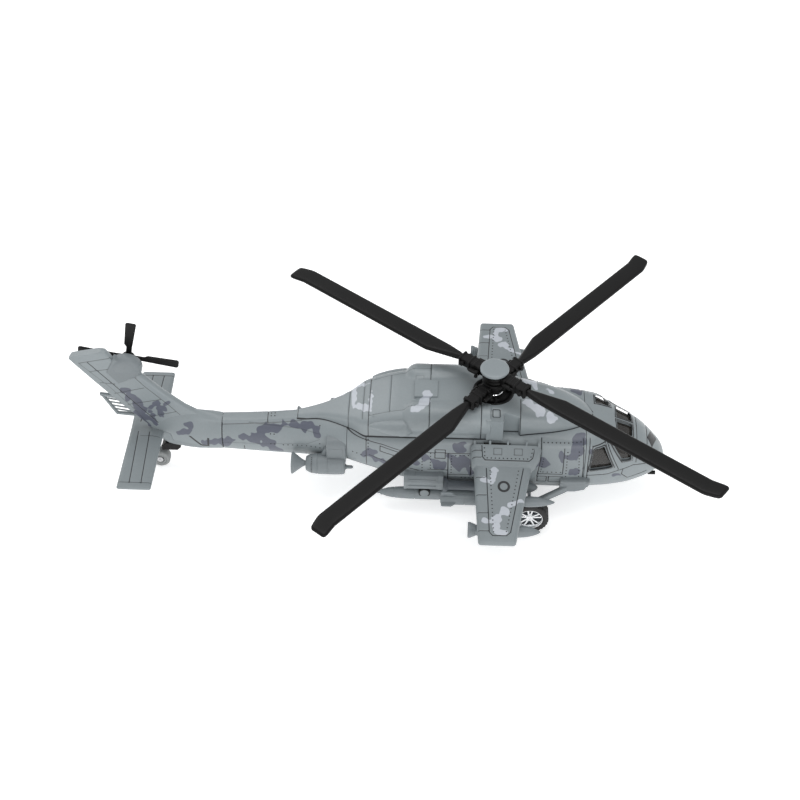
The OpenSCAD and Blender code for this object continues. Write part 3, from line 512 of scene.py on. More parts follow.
def moulded(name, colour, rough=0.45, vary=0.06, grain=900, bump=0.03, coat=0.0, metallic=0.0, patches=None,
            shine=0.5):
    """Painted or moulded surface with slow colour drift, fine grain and uneven gloss."""
    mat, nt, bsdf = new_material(name)
    drift = noise_tex(nt, 38, 2)
    fine = noise_tex(nt, grain, 4, 0.6)
    light = tuple(min(1, c * (1 + vary)) for c in colour)
    dark = tuple(c * (1 - vary) for c in colour)
    col = mix_colour(nt, ramp(nt, drift, 0.3, 0.7), dark, light)
    speck = mix_colour(nt, ramp(nt, fine, 0.35, 0.75, 0.0, 0.35), col, tuple(c * 0.86 for c in colour))
    out = speck
    if patches:
        dark_c, light_c, ink = patches
        out = mix_colour(nt, ramp(nt, attribute(nt, "dark"), 0.12, -0.12), out,
                         grained(nt, fine, dark_c, 0.95, 1.06))
        out = mix_colour(nt, ramp(nt, attribute(nt, "light"), 0.12, -0.12), out,
                         grained(nt, fine, light_c, 0.96, 1.04))
        thin = ramp(nt, math_node(nt, "ABSOLUTE", attribute(nt, "line_s")), 0.24, 0.16)
        near = ramp(nt, attribute(nt, "line_a"), 0.5, 0.44)
        line = math_node(nt, "MULTIPLY", thin, near, True)
        strength = math_node(nt, "MULTIPLY", line, attribute(nt, "ink_w"), True)
        printed = ramp(nt, attribute(nt, "ink"), 0.1, -0.1)
        out = mix_colour(nt, math_node(nt, "MAXIMUM", strength, printed), out, ink)
    link(nt, out, bsdf.inputs["Base Color"])
    link(nt, ramp(nt, fine, 0.2, 0.8, rough - 0.06, rough + 0.08), bsdf.inputs["Roughness"])
    bsdf.inputs["Metallic"].default_value = metallic
    bsdf.inputs["Specular IOR Level"].default_value = shine
    bsdf.inputs["Coat Weight"].default_value = coat
    bsdf.inputs["Coat Roughness"].default_value = 0.25
    b = nt.nodes.new("ShaderNodeBump")
    b.inputs["Strength"].default_value = bump * 4
    b.inputs["Distance"].default_value = 0.0001
    link(nt, fine, b.inputs["Height"])
    link(nt, b.outputs[0], bsdf.inputs["Normal"])
    return mat


GREY = (0.226, 0.256, 0.268)
SLATE = (0.090, 0.099, 0.130)
LAVENDER = (0.455, 0.482, 0.525)
INK = (0.012, 0.013, 0.015)
paint = moulded("grey_paint", GREY, 0.42, 0.04, patches=(SLATE, LAVENDER, INK), coat=0.15)
plastic = moulded("grey_plastic", (0.205, 0.232, 0.243), 0.46, 0.05, patches=(SLATE, LAVENDER, INK))
PAINTED += [paint, plastic]
plain_grey = moulded("store_grey", (0.18, 0.203, 0.214), 0.45, 0.06)
pale_cap = moulded("cap_grey", (0.225, 0.255, 0.268), 0.38, 0.03, coat=0.2)
dark_grey = moulded("belly_grey", (0.10, 0.115, 0.13), 0.5, 0.06)
black = moulded("rotor_black", (0.0055, 0.0053, 0.0053), 0.42, 0.15, grain=700, bump=0.05, shine=0.2)
ink = moulded("rivet_ink", (0.012, 0.0125, 0.015), 0.5, 0.1)
rubber = moulded("tyre_rubber", (0.009, 0.009, 0.009), 0.62, 0.2, grain=1400, bump=0.12)
interior = moulded("cockpit_black", (0.02, 0.019, 0.018), 0.55, 0.12, bump=0.08)
wheel_grey = moulded("tail_wheel_grey", (0.24, 0.25, 0.25), 0.5, 0.05)
acetal = moulded("natural_acetal", (0.62, 0.59, 0.50), 0.35, 0.03)
motor_blue = moulded("motor_case", (0.03, 0.035, 0.05), 0.45, 0.08)
mask_green = moulded("solder_mask", (0.01, 0.09, 0.035), 0.3, 0.15, coat=0.5)
brass = moulded("spring_brass", (0.7, 0.46, 0.16), 0.28, 0.05, metallic=1.0)
steel = moulded("turned_steel", (0.55, 0.55, 0.56), 0.26, 0.05, grain=2400, bump=0.04, metallic=1.0)
chrome = moulded("plated_rim", (0.78, 0.79, 0.80), 0.14, 0.03, grain=600, bump=0.01, metallic=1.0)
led_clear = moulded("led_epoxy", (0.75, 0.7, 0.6), 0.12, 0.02, coat=1.0)


def smoky_glass():
    mat, nt, bsdf = new_material("smoky_glazing")
    fine = noise_tex(nt, 300, 2)
    tint = mix_colour(nt, ramp(nt, fine, 0.3, 0.7), (0.030, 0.028, 0.026), (0.040, 0.037, 0.034))
    link(nt, tint, bsdf.inputs["Base Color"])
    link(nt, ramp(nt, fine, 0.2, 0.8, 0.04, 0.09), bsdf.inputs["Roughness"])
    bsdf.inputs["Alpha"].default_value = 0.82
    bsdf.inputs["IOR"].default_value = 1.5
    bsdf.inputs["Specular IOR Level"].default_value = 0.4
    bsdf.inputs["Coat Weight"].default_value = 0.2
    bsdf.inputs["Coat Roughness"].default_value = 0.03
    return mat


glazing = smoky_glass()

# ---------------------------------------------------------------- fuselage

# a rib is (station, half width, top, bottom, height of the widest line, upper and lower exponent)
FUSELAGE = [
    (-69.5, 16.3, 40.2, 15.5, 29.5, 3, 2.2), (-61, 18.2, 43.0, 13.7, 28.8, 3.6, 2.4),
    (-56, 19.2, 43.5, 12.6, 28.5, 4, 2.5), (-41, 21.3, 43.7, 9, 26, 5, 2.8), (-27, 22, 43.8, 7, 25, 6, 3),
    (31, 22, 43.8, 7, 25, 6, 3), (45.6, 21.2, 43.7, 7, 25, 4.8, 3), (50.4, 20.5, 43.4, 7, 25, 4, 3),
    (55.5, 19.5, 42.4, 7.1, 24, 3, 3), (60.7, 18, 40.4, 7.3, 22.8, 2.5, 3),
    (66, 16.4, 38.2, 7.6, 21.6, 2.3, 2.9), (71, 14.3, 35.6, 8.2, 20.6, 2.2, 2.7),
    (76.5, 11.5, 30.9, 9.2, 19.4, 2.1, 2.4), (79.2, 9.8, 28, 10.2, 18.8, 2, 2.2),
    (82.2, 7.3, 24.4, 12, 18.2, 2, 2), (84, 4, 21.2, 15, 18.1, 2, 2), (84.6, 1.6, 19.4, 16.8, 18.1, 2, 2)]
BOOM = [
    (-175, 2.6, 27, 21, 24.4, 2.2, 2.2), (-168, 3.6, 30, 17.6, 24, 2.2, 2.2),
    (-158, 5.2, 32.4, 15.2, 24, 2.1, 2.2), (-145, 6.4, 33, 14.6, 24, 2, 2.1),
    (-131, 7.3, 33.5, 14.4, 24, 2, 2), (-109, 9, 35, 13.9, 24.4, 2, 2), (-94.5, 10, 36.8, 13.6, 25.2, 2, 2),
    (-83, 12.3, 39.2, 14.2, 26.8, 2.3, 2.1), (-69.5, 16.3, 40.2, 15.5, 29.5, 3, 2.2)]
WALL = 1.5
GAP = 0.42

COWLING = [
    (-94.3, 2.7, 38.4, 33, 36.4, 4, 4), (-83, 4.5, 41.6, 33, 37.4, 5, 4), (-69.5, 10.2, 45.4, 34, 39.2, 6, 4),
    (-60, 16.2, 49.2, 35, 41.2, 6, 4), (-45, 17.9, 54.3, 36, 42.6, 5.4, 4), (-30, 18.6, 56.4, 36, 43, 5.6, 4),
    (-8, 18.6, 56.8, 36, 43, 5.6, 4), (5, 18, 56.4, 36, 43, 5, 4), (13, 16.2, 55.4, 36, 43, 3.6, 4),
    (31, 13.2, 52.4, 36, 43, 2.7, 4), (41, 9.8, 48.6, 36, 43, 2.2, 4), (45.5, 6.2, 46, 36, 42.8, 2, 4),
    (48.2, 1.2, 43.8, 40, 42.6, 2, 2)]


NACELLE_Y, NACELLE_Z, NACELLE_R = 13.3, 50.5, 7.5
NACELLE_ENDS = (-43.0, -36.5, -1.0)         # rear tip, where the round rear end begins, front
TEAR_Y, TEAR_Z = 17.2, 47.4                 # teardrop fairing behind each nacelle
TEAR_X = [-59, -56, -51.5, -47, -43, -40.5, -38.4, -37.4]
TEAR_R = [0, 1.5, 2.9, 3.9, 4.4, 4.2, 3.0, 0]
INTAKE_X = (-3.2, 5.0)
BAY_FRONT, BAY_Y = 12.6, 13.9               # recess in front of each intake
OUTSIDE = 20                                # a distance that takes a shape out of the blend


def cowling_distance(x, y, z):
    """Distance outside the cowling's section at station x, negative inside."""
    rib = np.array(COWLING, float)
    half, top, mid, p = (pchip(rib[:, 0], rib[:, i], x) for i in (1, 2, 4, 5))
    a = np.abs(y)
    r = np.hypot(y, z - mid) + 1e-9
    g = ((a / half) ** p + (np.abs(z - mid) / (top - mid)) ** p) ** (1 / p)
    shape = r - r / g
    tip, round_x, front = NACELLE_ENDS
    behind = np.clip((round_x - x) / (round_x - tip), 0, 1)
    radius = NACELLE_R * np.sqrt(np.clip(1 - behind ** 2, 0, 1)) - OUTSIDE * (x > front)
    shape = blend_min(shape, np.hypot(a - NACELLE_Y, z - NACELLE_Z) - radius, 1.2)
    tear = np.interp(x, TEAR_X, TEAR_R)
    tear = np.where((x < TEAR_X[0]) | (x > TEAR_X[-1]), -OUTSIDE, tear)
    shape = blend_min(shape, np.hypot((a - TEAR_Y) * 0.9, z - TEAR_Z) - tear, 0.1)
    box = np.maximum(np.abs(a - 15.4) - 4.6, np.abs(z - 49.2) - 6.2)
    box = np.where((x > INTAKE_X[0]) & (x < INTAKE_X[1]), box, OUTSIDE)
    shape = blend_min(shape, box, 0.5)
    bay = np.where((x > INTAKE_X[1]) & (x < BAY_FRONT), BAY_Y - a, OUTSIDE)
    return np.maximum(shape, -bay)


def roof_height(x, y):
    """Height of the fuselage's roof line at (x, y)."""
    rib = np.array(BOOM[:-1] + FUSELAGE, float)
    half, top, mid, p = (pchip(rib[:, 0], rib[:, i], x) for i in (1, 2, 4, 5))
    return mid + (top - mid) * np.clip(1 - (np.abs(y) / half) ** p, 0, 1) ** (1 / p)


def cowling_seam(skin):
    """Inks the gap that runs round the cowling's foot."""
    x, y, z = (skin.p[..., i] for i in range(3))
    d = cowling_distance(np.clip(x, -94.2, 48.1), y, z)
    skin.mark(np.abs(np.where((x > -94.6) & (x < 48.6) & (z > 30), d, FAR) - 0.1) - 0.3)


def slant(skin, side):
    """Coordinates for paint that wraps from a side up on to the roof."""
    return skin.p[..., 0], 0.72 * skin.p[..., 2] - 0.69 * side * skin.p[..., 1]


SIDES = ((STARBOARD, 0.0), (PORT, 7.3))


def side_mask(skin, side, least=0.25):
    return skin.facing(1, side, least)


def dark_patches(skin, blobs, seed=1.0):
    for side, s in SIDES:
        u, v = slant(skin, side)
        skin.paint("dark", blobs, (u, v), skin.p[..., 1] * side > -2, seed + s)


def oblong(x0, x1, v0, v1):
    """A rectangle's corners, from the upper rear one round by the front."""
    return [(x0, v1), (x1, v1), (x1, v0), (x0, v0)]


CABIN_RIVETS = (
    ((-19, 33.6), (-19, 22.4)), ((-17, 34.2), (-11, 34.4)), ((24.8, 33.6), (23.8, 25)),
    ((25, 24.8), (33.4, 24.8)), ((36, 38), (36, 20)), ((41.4, 38), (42.4, 20)), ((-29, 35), (-29, 25)),
    ((-66.6, 29.6), (-60.6, 28.2)), ((-59, 38.6), (-59, 33)), ((-33, 31), (-33, 23)), ((-14, 19), (14, 19)),
    ((24.5, 42), (42, 42)))
cab_x = spread(-69.4, 44.5, GAP, extra=(-60, -20.6, -9.6, 23.4))
cab = Skin(ellipse_sections(cab_x, FUSELAGE, 300), GAP)
for side in (STARBOARD, PORT):
    m = side_mask(cab, side)
    cab.lines(XZ, m, 0.12, [(-69.4, 39.2), (-52, 37.4), (-44, 35.4), (-20.6, 35.4)], [(-60, 41), (-60, 20)])
    cab.lines(XZ, m, 0.2, [(-44.4, 34.0), (-53.2, 36.4), (-53.3, 33.2), (-44.4, 30.8)],
              [(-58.5, 29.6), (-51.2, 27.0), (-30, 21.6)])
    cab.line(oblong(-26.9, -22, 31.8, 37.3), XZ, m, 0.24, closed=True)
    cab.panel(oblong(-26.4, -22.5, 32.3, 36.8), XZ, m, -0.25)
    cab.line([(-20.6, 35.3), (-9.6, 35.5), (-9.6, 21), (-20.6, 20.7)], XZ, m, 0.24, closed=True)
    cab.line([(-30.4, 24), (-20.6, 24), (-20.6, 14)], XZ, m, 0.2)
    cab.line([(23.4, 43), (23.4, 33), (22.2, 22)], XZ, m, 0.24)
    cab.line([(23, 23.4), (34.4, 23.4), (34.4, 40)], XZ, m, 0.16)
    cab.lines(XZ, m, 0.24, oblong(22.4, 26.8, 17.8, 21.6), oblong(27.8, 34.6, 17.8, 21.6), closed=True)
    cab.line([(43.3, 42.6), (44.0, 30), (44.3, 12)], XZ, m, 0.2)
    cab.line([(-69.4, 22), (-30, 14.6), (40, 14.6)], XZ, m, 0.14)
    for a, b in CABIN_RIVETS:
        rivet_row(cab, "airframe", a, b, XZ, m)
dark_patches(cab, [
    (-15.6, 13.0, 3.4, 2.6, 0), (-14.4, 6.0, 4.4, 3.6, 10), (-24.6, 4.6, 4.0, 2.7, -8),
    (-18.6, 8.2, 2.0, 1.4, 0), (-9.4, 2.0, 4.0, 1.6, 0), (-31.6, 8.2, 2.6, 1.8, 40),
    (-36.4, 5.0, 2.6, 1.0, 0), (-59.0, 9.0, 3.6, 2.2, 0), (-52.0, 5.6, 5.4, 1.1, -20),
    (-31.0, -1.0, 5.0, 1.6, -10), (4.0, 9.0, 6.0, 2.8, 8), (11.0, 4.6, 4.0, 2.4, 30),
    (41.2, 18.6, 3.4, 3.6, 0), (40.8, 13.8, 3.2, 3.0, 0), (39.6, 10.4, 2.6, 1.7, 10),
    (35.8, 10.4, 2.0, 1.8, 0), (33.6, 10.4, 1.8, 2.2, 0), (40.0, 3.6, 2.9, 1.2, 8),
    (25.4, 6.8, 3.0, 2.7, 0), (20.0, 6.4, 3.0, 2.2, 0)], 2.0)
cowling_seam(cab)
cabin = cab.build("cabin_shell_skin", "airframe", "cabin_shell", "body", paint,
                  inner=ellipse_sections(np.linspace(-69.4, 44.5, 40), FUSELAGE, 300, WALL),
                  caps=(False, False))


def prism(name, poly, axis, a, b):
    """A polygon in the two other coordinates, extruded along one axis from a to b."""
    verts, n = [], len(poly)
    for t in (a, b):
        for u, v in poly:
            p = [u, v]
            p.insert(axis, t)
            verts.append(p)
    faces = [tuple(range(n)), tuple(range(2 * n - 1, n - 1, -1))]
    faces += [(i, n + i, n + (i + 1) % n, (i + 1) % n) for i in range(n)]
    ob = new_object(name, place(verts), faces)
    bm = bmesh.new()
    bm.from_mesh(ob.data)
    bmesh.ops.recalc_face_normals(bm, faces=bm.faces)
    bm.to_mesh(ob.data)
    bm.free()
    return ob


def cut(ob, cutters, solver="FAST"):
    """Subtracts the cutters and removes them."""
    for c in cutters:
        mod = ob.modifiers.new("cut", "BOOLEAN")
        mod.operation = "DIFFERENCE"
        mod.solver = solver
        mod.object = c
    bpy.context.view_layer.update()
    dg = bpy.context.evaluated_depsgraph_get()
    me = bpy.data.meshes.new_from_object(ob.evaluated_get(dg))
    ob.modifiers.clear()
    old = ob.data
    ob.data = me
    bpy.data.meshes.remove(old)
    for c in cutters:
        bpy.data.objects.remove(c)


cut(cabin, [prism("belly_cut", [(-50.1, -16.6), (40.1, -16.6), (40.1, 16.6), (-50.1, 16.6)], 2, 0, 11.1)])


def mirrored(poly, side):
    """The points with their second coordinate on the given side."""
    return [(u, side * v) for u, v in poly]

# ---------------------------------------------------------------- cockpit

nose_x = spread(44.75, 84.6, 0.36, extra=(69.8, 75.2))
nose = Skin(ellipse_sections(nose_x, FUSELAGE, 320), 0.36)
SIDE_WINDOW = [(47.2, 26.0), (58.4, 26.6), (53.4, 38.8), (48.4, 38.8)]
QUARTER = [(62.6, 29.0), (67.2, 28.2), (66.8, 33.4), (58.2, 38.6), (57.4, 37.6)]
ROOF_WINDOW = [(50.0, 7.4), (57.0, 7.0), (56.6, 10.4), (54.4, 12.9), (50.0, 13.4)]
PANE = [(59.8, 1.1), (67.6, 1.1), (67.4, 7.6), (60.2, 9.8)]
WINDOW_CORNER = 0.9


def window_frame(poly, grow, axes, mask, raised, groove, shift, half):
    """Raises a frame that reaches `grow` past the opening and inks the opening's edge."""
    c = np.mean(poly, 0)
    rim = [tuple(c + (np.array(p) - c) * (1 + grow / np.linalg.norm(np.array(p) - c))) for p in poly]
    nose.panel(rim, axes, mask, raised, 0.4)
    nose.line(rim, axes, mask, groove, closed=True)
    nose.mark(np.abs(nose.inside(round_corners(poly, WINDOW_CORNER), axes) + shift) - half, mask)


for side in (STARBOARD, PORT):
    m = side_mask(nose, side, 0.2)
    window_frame(SIDE_WINDOW, 1.3, XZ, m, 0.35, 0.2, 0.32, 0.26)
    window_frame(QUARTER, 1.1, XZ, m, 0.35, 0.2, 0.32, 0.26)
    nose.lines(XZ, m, 0.2, [(46.4, 42.4), (46.0, 30), (46.2, 19)],
               [(46.0, 22.4), (56, 22.0), (63.6, 23.6), (63.2, 20.2), (66.4, 16.5), (76, 17.4)])
    nose.lines(XZ, m, 0.16, [(54.6, 40.2), (61.4, 24.0)], [(63.6, 23.6), (68.4, 24.6), (76.4, 22.4)])
    t = nose.facing(2, 1, 0.2) & (nose.p[..., 1] * side > -0.4)
    window_frame(mirrored(ROOF_WINDOW, side), 1.0, XY, t, 0.3, 0.18, 0.3, 0.22)
    window_frame(mirrored(PANE, side), 0.8, XY, t, 0.3, 0.18, 0.3, 0.22)
    for x in (69.8, 75.2):
        nose.line([(x, 0), (x, side * 20)], XY, t, 0.2)
dark_patches(nose, [(59.6, 2.0, 2.9, 0.9, 4), (47.0, 13.0, 1.0, 2.0, 0)], 4.0)
badge = -nose.inside([(75.2, -3.4), (77.6, 3.6), (80.8, 1.2), (77.8, -6.4)], XY)
nose.mark(badge, nose.facing(2, 1, 0.2))
cowling_seam(nose)
inner_x = np.r_[44.75, np.linspace(46, 80, 24)]
cockpit = nose.build("cockpit_shell_skin", "airframe", "cockpit_shell", "body", paint,
                     inner=ellipse_sections(inner_x, FUSELAGE, 320, 1.2), caps=(False, True))
cutters = []
for side in (STARBOARD, PORT):
    reach = sorted((side * 8.0, side * 40.0))
    for poly in (SIDE_WINDOW, QUARTER):
        cutters.append(prism("window_cut", round_corners(poly, WINDOW_CORNER), 1, *reach))
    for poly in (ROOF_WINDOW, PANE):
        cutters.append(prism("window_cut", round_corners(mirrored(poly, side), WINDOW_CORNER), 2, 30.5, 60))
cut(cockpit, cutters, "EXACT")

glass_x = np.linspace(46, 72, 40)
glass = Skin(ellipse_sections(glass_x, FUSELAGE, 120, 1.25), 0.9)
pane = glass.build("cockpit_glazing_shell", "airframe", "cockpit_glazing", "glazing", glazing,
                   inner=ellipse_sections(glass_x, FUSELAGE, 120, 1.85), caps=(False, False))
cut(pane, [prism("glass_cut", [(-60, -60), (200, -60), (200, 60), (-60, 60)], 2, 0, 22)])

# ---------------------------------------------------------------- engine cowling

def cowling_grid(xs, n):
    """Rows of n points on the cowling's surface, found by closing in on it along rays."""
    rib = np.array(COWLING, float)
    mid = pchip(rib[:, 0], rib[:, 4], xs)
    low = np.radians(-14)
    ang = np.linspace(low, math.pi - low, n)
    X = np.repeat(xs[:, None], n, 1)
    c, s = np.cos(ang)[None], np.sin(ang)[None]
    M = mid[:, None]
    inside = np.zeros(X.shape, bool)
    lo = np.zeros(X.shape)
    for r in np.linspace(33.8, 1.0, 110):
        hit = (~inside) & (cowling_distance(X, r * c, M + r * s) < 0)
        lo = np.where(hit, r, lo)
        inside |= hit
    hi = lo + 0.31
    for _ in range(10):
        r = (lo + hi) / 2
        neg = cowling_distance(X, r * c, M + r * s) < 0
        lo, hi = np.where(neg, r, lo), np.where(neg, hi, r)
    r = np.maximum((lo + hi) / 2, 0.4)
    return np.stack([X, r * c, M + r * s], -1)


cow_x = spread(-94.2, 48.1, 0.45, extra=(-69, -62, -59, -49, -30, -43.2, -3.2, 5.0, 12.6, -37.4))
cow_top = cowling_grid(cow_x, 210)
under = np.linspace(1, 0, 8)[1:-1]
bottom = []
for row in cow_top:
    a, b = row[-1], row[0]
    bottom.append([b + (a - b) * t for t in under])
cow = Skin(np.concatenate([cow_top, np.array(bottom)], 1), 0.45)
top = cow.facing(2, 1, 0.1)
both = cow.p[..., 2] > 30
for x, reach, dark in ((-69, 11.4, 0.6), (-62, 13.2, 0.5), (-59, 30, 0.9), (-49, 12.6, 0.5), (-30, 30, 0.7)):
    cow.line([(x, -reach), (x, reach)], XY, both, 0.24, ink=dark)
for side in (STARBOARD, PORT):
    cow.line(mirrored([(-59, 12.2), (-49, 12.6), (-30, 12.9)], side), XY, top, 0.14, ink=0.4)
    cow.line([(-5.6, side * 10.5), (-5.6, side * 24)], XY, both, 0.22)
    cow.line([(13, side * 4), (13, side * 24)], XY, both, 0.24)
    cow.line(mirrored([(-0.2, 12.4), (3.2, 12.4), (3.2, 16.6), (-0.2, 16.6)], side), XY, top, 0.2,
             closed=True)
cow.line([(-37.2, 7.4), (-37.2, 8.9), (-33.4, 8.9), (-33.4, 7.4)], XY, top, 0.12, ink=0.2)
BUTTON_PATCHES = [(-31.4, 38.0, 2.3, 2.0, 0), (-32.8, 34.6, 2.9, 2.4, 30), (-36.4, 31.3, 3.0, 1.8, 20)]
cow.paint("light", BUTTON_PATCHES + [
    (-66.9, 37.0, 1.3, 5.0, 0), (-62.0, 31.0, 4.2, 1.8, -8), (-58.5, 33.8, 1.1, 3.8, 0),
    (-64.6, 41.8, 3.8, 0.9, 6), (-73.5, 36.8, 3.8, 0.6, 27),
    (17.2, 46.0, 3.4, 1.6, -6), (20.2, 43.6, 1.4, 2.0, 0), (27.4, 41.2, 1.7, 0.9, -30),
    (16.6, 35.2, 3.0, 1.6, -14), (21.6, 32.2, 3.6, 2.6, -30), (27.2, 28.8, 3.4, 2.2, -34)],
          slant(cow, STARBOARD), None, 5.0, 0.5, 0.5)
cow.mark(np.abs(cow.p[..., 2] - roof_height(cow.p[..., 0], cow.p[..., 1])) - 0.3)
cow.mark(cow.p[..., 0] + 93.9)
cow_piece = cow.build("engine_cowling_skin", "airframe", "upper_cowling", "body", paint, smooth=38)
dish_hole = [(9.85 * math.cos(a), 9.85 * math.sin(a)) for a in np.linspace(0, math.tau, 73)[:-1]]
cut(cow_piece, [prism("button_cut", [(-37.65, -6.15), (-26.35, -6.15), (-26.35, 6.15), (-37.65, 6.15)], 2,
                      50, 70),
                prism("dish_cut", dish_hole, 2, 53.2, 70)], "EXACT")

# ---------------------------------------------------------------- slabs: fin, wings, stabiliser, blades

def slab(stations, gap, edge_a=1.0, edge_b=1.0, camber=0.0, tip=0.8):
    """Rings of a rounded slab. A station is (edge a, edge b, thickness, normal)."""
    st = [tuple(np.array(v, float) for v in s) for s in stations]
    if tip:
        (a1, b1, t1, n1), (a0, b0, t0, n0) = st[-1], st[-2]
        mid1, mid0 = (a1 + b1) / 2, (a0 + b0) / 2
        out = (mid1 - mid0) / np.linalg.norm(mid1 - mid0)
        across = (b1 - a1) / np.linalg.norm(b1 - a1)
        st = st[:-1] + [(a1 - out * tip, b1 - out * tip, t1, n1)]
        for k in range(1, 7):
            w = math.radians(15 * k * 0.97)
            push, shrink = tip * (math.sin(w) - 1), tip * (1 - math.cos(w))
            st.append((a1 + out * push + across * shrink, b1 + out * push - across * shrink,
                       t1 * max(math.cos(w), 0.12), n1))
    dense = []
    for s0, s1 in zip(st, st[1:]):
        d = np.linalg.norm((s1[0] + s1[1] - s0[0] - s0[1]) / 2)
        n = max(1, int(round(d / gap)))
        for k in range(n):
            w = k / n
            dense.append(tuple((1 - w) * u + w * v for u, v in zip(s0, s1)))
    dense.append(st[-1])
    chord = max(np.linalg.norm(s[1] - s[0]) for s in dense)
    inner = np.linspace(0, 1, int(chord / gap))
    near = np.array([0, 0.02, 0.08, 0.18, 0.32, 0.5, 0.7, 1.0])
    rows = []
    for a, b, t, n in dense:
        c = np.linalg.norm(b - a)
        h = float(t) / 2
        ra, rb = min(h * edge_a, c * 0.45), min(h * edge_b, c * 0.45)
        d = np.r_[near * ra, ra + inner[1:-1] * (c - ra - rb), c - near[::-1] * rb]
        y = np.full(len(d), h)
        y = np.where(d < ra, h * np.sqrt(np.clip(1 - ((ra - d) / ra) ** 2, 0, 1)), y)
        y = np.where(d > c - rb, h * np.sqrt(np.clip(1 - ((d - c + rb) / rb) ** 2, 0, 1)), y)
        u = (b - a) / c
        bow = camber * h * (1 - (2 * d / c - 1) ** 2)
        top_side = a + d[:, None] * u + (y + bow)[:, None] * n
        low_side = a + d[:, None] * u + (bow - y)[:, None] * n
        rows.append(np.concatenate([top_side, low_side[-2:0:-1]]))
    return np.array(rows)


# ---------------------------------------------------------------- tail boom

def ridge(skin):
    """How far the flat ridge along the boom's top stands up."""
    return np.where(skin.facing(2, 1, 0.1), 1.05 * step(3.6, 2.5, np.abs(skin.p[..., 1])), 0)


boom_x = spread(-130.95, -69.6, GAP, extra=(-108.7, -83))
boom = Skin(ellipse_sections(boom_x, BOOM, 220), GAP)
boom.lift += ridge(boom)
for side in (STARBOARD, PORT):
    m = side_mask(boom, side, 0.1)
    t = boom.facing(2, 1, 0.1)
    boom.line([(-130.9, side * 3.7), (-92, side * 3.7)], XY, t, 0.1, ink=0.5)
    boom.line([(-130.9, 23.4), (-112, 24.6), (-90, 27.0), (-83, 31.6)], XZ, m, 0.1, ink=0.25)
    boom.line([(-118, 33.4), (-83, 34.2)], XZ, m, 0.08, ink=0.3)
    boom.line([(-108.7, 0), (-108.7, side * 3.4)], XY, t, 0.2)
    for x, zs in ((-105.4, (36.2, 30.4, 25.1)), (-107.2, (36.2, 30.4, 25.1)),
                  (-82.9, (41.3, 37.2, 29.3, 26.6))):
        for z in zs:
            rivet("airframe", *boom.surface_point((x, z), XZ, m))
    rivet_row(boom, "airframe", (-101, 25), (-85, 26.6), XZ, m, 2.3)
boom.line([(-120.5, 10), (-120.5, 22)], XZ, boom.facing(2, -1, 0.1), 0.1)


def spot(x, z, y, rx, rz, tilt=0.0):
    """A patch given on the side plane at distance y, in slanted paint coordinates."""
    return (x, 0.72 * z - 0.69 * y, rx, 0.72 * rz, tilt)


BOOM_PATCHES = [
    spot(-94, 39.0, 10, 5.4, 2.4, -14), spot(-89, 39.4, 10, 4.8, 3.0, -20),
    spot(-84.4, 35.2, 10, 2.6, 3.2, -35), spot(-110.4, 35.8, 10, 3.4, 3.6, 20),
    spot(-105.6, 37.2, 10, 4.0, 3.2, -10), spot(-119.6, 30.6, 10, 3.6, 1.9, 15),
    spot(-114.4, 29.4, 10, 4.6, 3.6, -10), spot(-109.0, 26.8, 10, 4.4, 4.0, -35),
    spot(-105.0, 22.6, 10, 3.0, 1.8, -30), spot(-129.2, 25.6, 9, 2.4, 3.6, 10)]
FIN_PATCHES = [
    spot(-176.0, 51.0, 2, 2.1, 2.1), spot(-173.4, 46.4, 2, 1.1, 3.2, 25), spot(-171.0, 43.4, 2, 2.0, 3.0, 30),
    spot(-170.2, 38.6, 2, 3.2, 2.2, -24), spot(-170.6, 35.4, 2, 2.8, 1.5, -40),
    spot(-165.4, 35.0, 2, 1.7, 1.1, -30), spot(-165.6, 40.6, 2, 3.2, 1.3, 14),
    spot(-160.8, 43.4, 2, 3.8, 1.5, 4), spot(-161.2, 39.4, 2, 1.6, 3.0, 12),
    spot(-147.2, 31.4, 4, 2.4, 2.7, 0), spot(-150.0, 26.6, 4, 3.7, 2.0, 6),
    spot(-136.4, 22.0, 6, 4.2, 2.1, 4), spot(-131.4, 24.4, 8, 2.9, 3.2, 10)]
dark_patches(boom, BOOM_PATCHES + FIN_PATCHES[-1:], 6.0)       # the last one runs on over the joint
cowling_seam(boom)
boom.build("tail_boom_skin", "airframe", "tail_boom", "body", paint,
           inner=ellipse_sections(np.linspace(-130.95, -69.6, 30), BOOM, 220, 1.5), caps=(False, False))

# ---------------------------------------------------------------- tail fin and keel

FIN_T = 3.7
TAIL_END = [
    (-168.5, 1.7, 31, 20, 25, 1.6, 2.4), (-163, 2.3, 34.5, 18.5, 25.5, 1.5, 3),
    (-158, 3.4, 37, 15.6, 25.5, 1.4, 3.6), (-151, 4.8, 38.5, 14.9, 25, 1.35, 3.6),
    (-145, 5.9, 38.2, 14.6, 24.6, 1.4, 3.4), (-138, 6.7, 35.8, 14.5, 24.2, 1.6, 2.6),
    (-131, 7.3, 33.5, 14.4, 24, 2, 2)]


def fin_station(ax, az, bx, bz, t=FIN_T):
    return (ax, 0, az), (bx, 0, bz), t, (0, -1, 0)


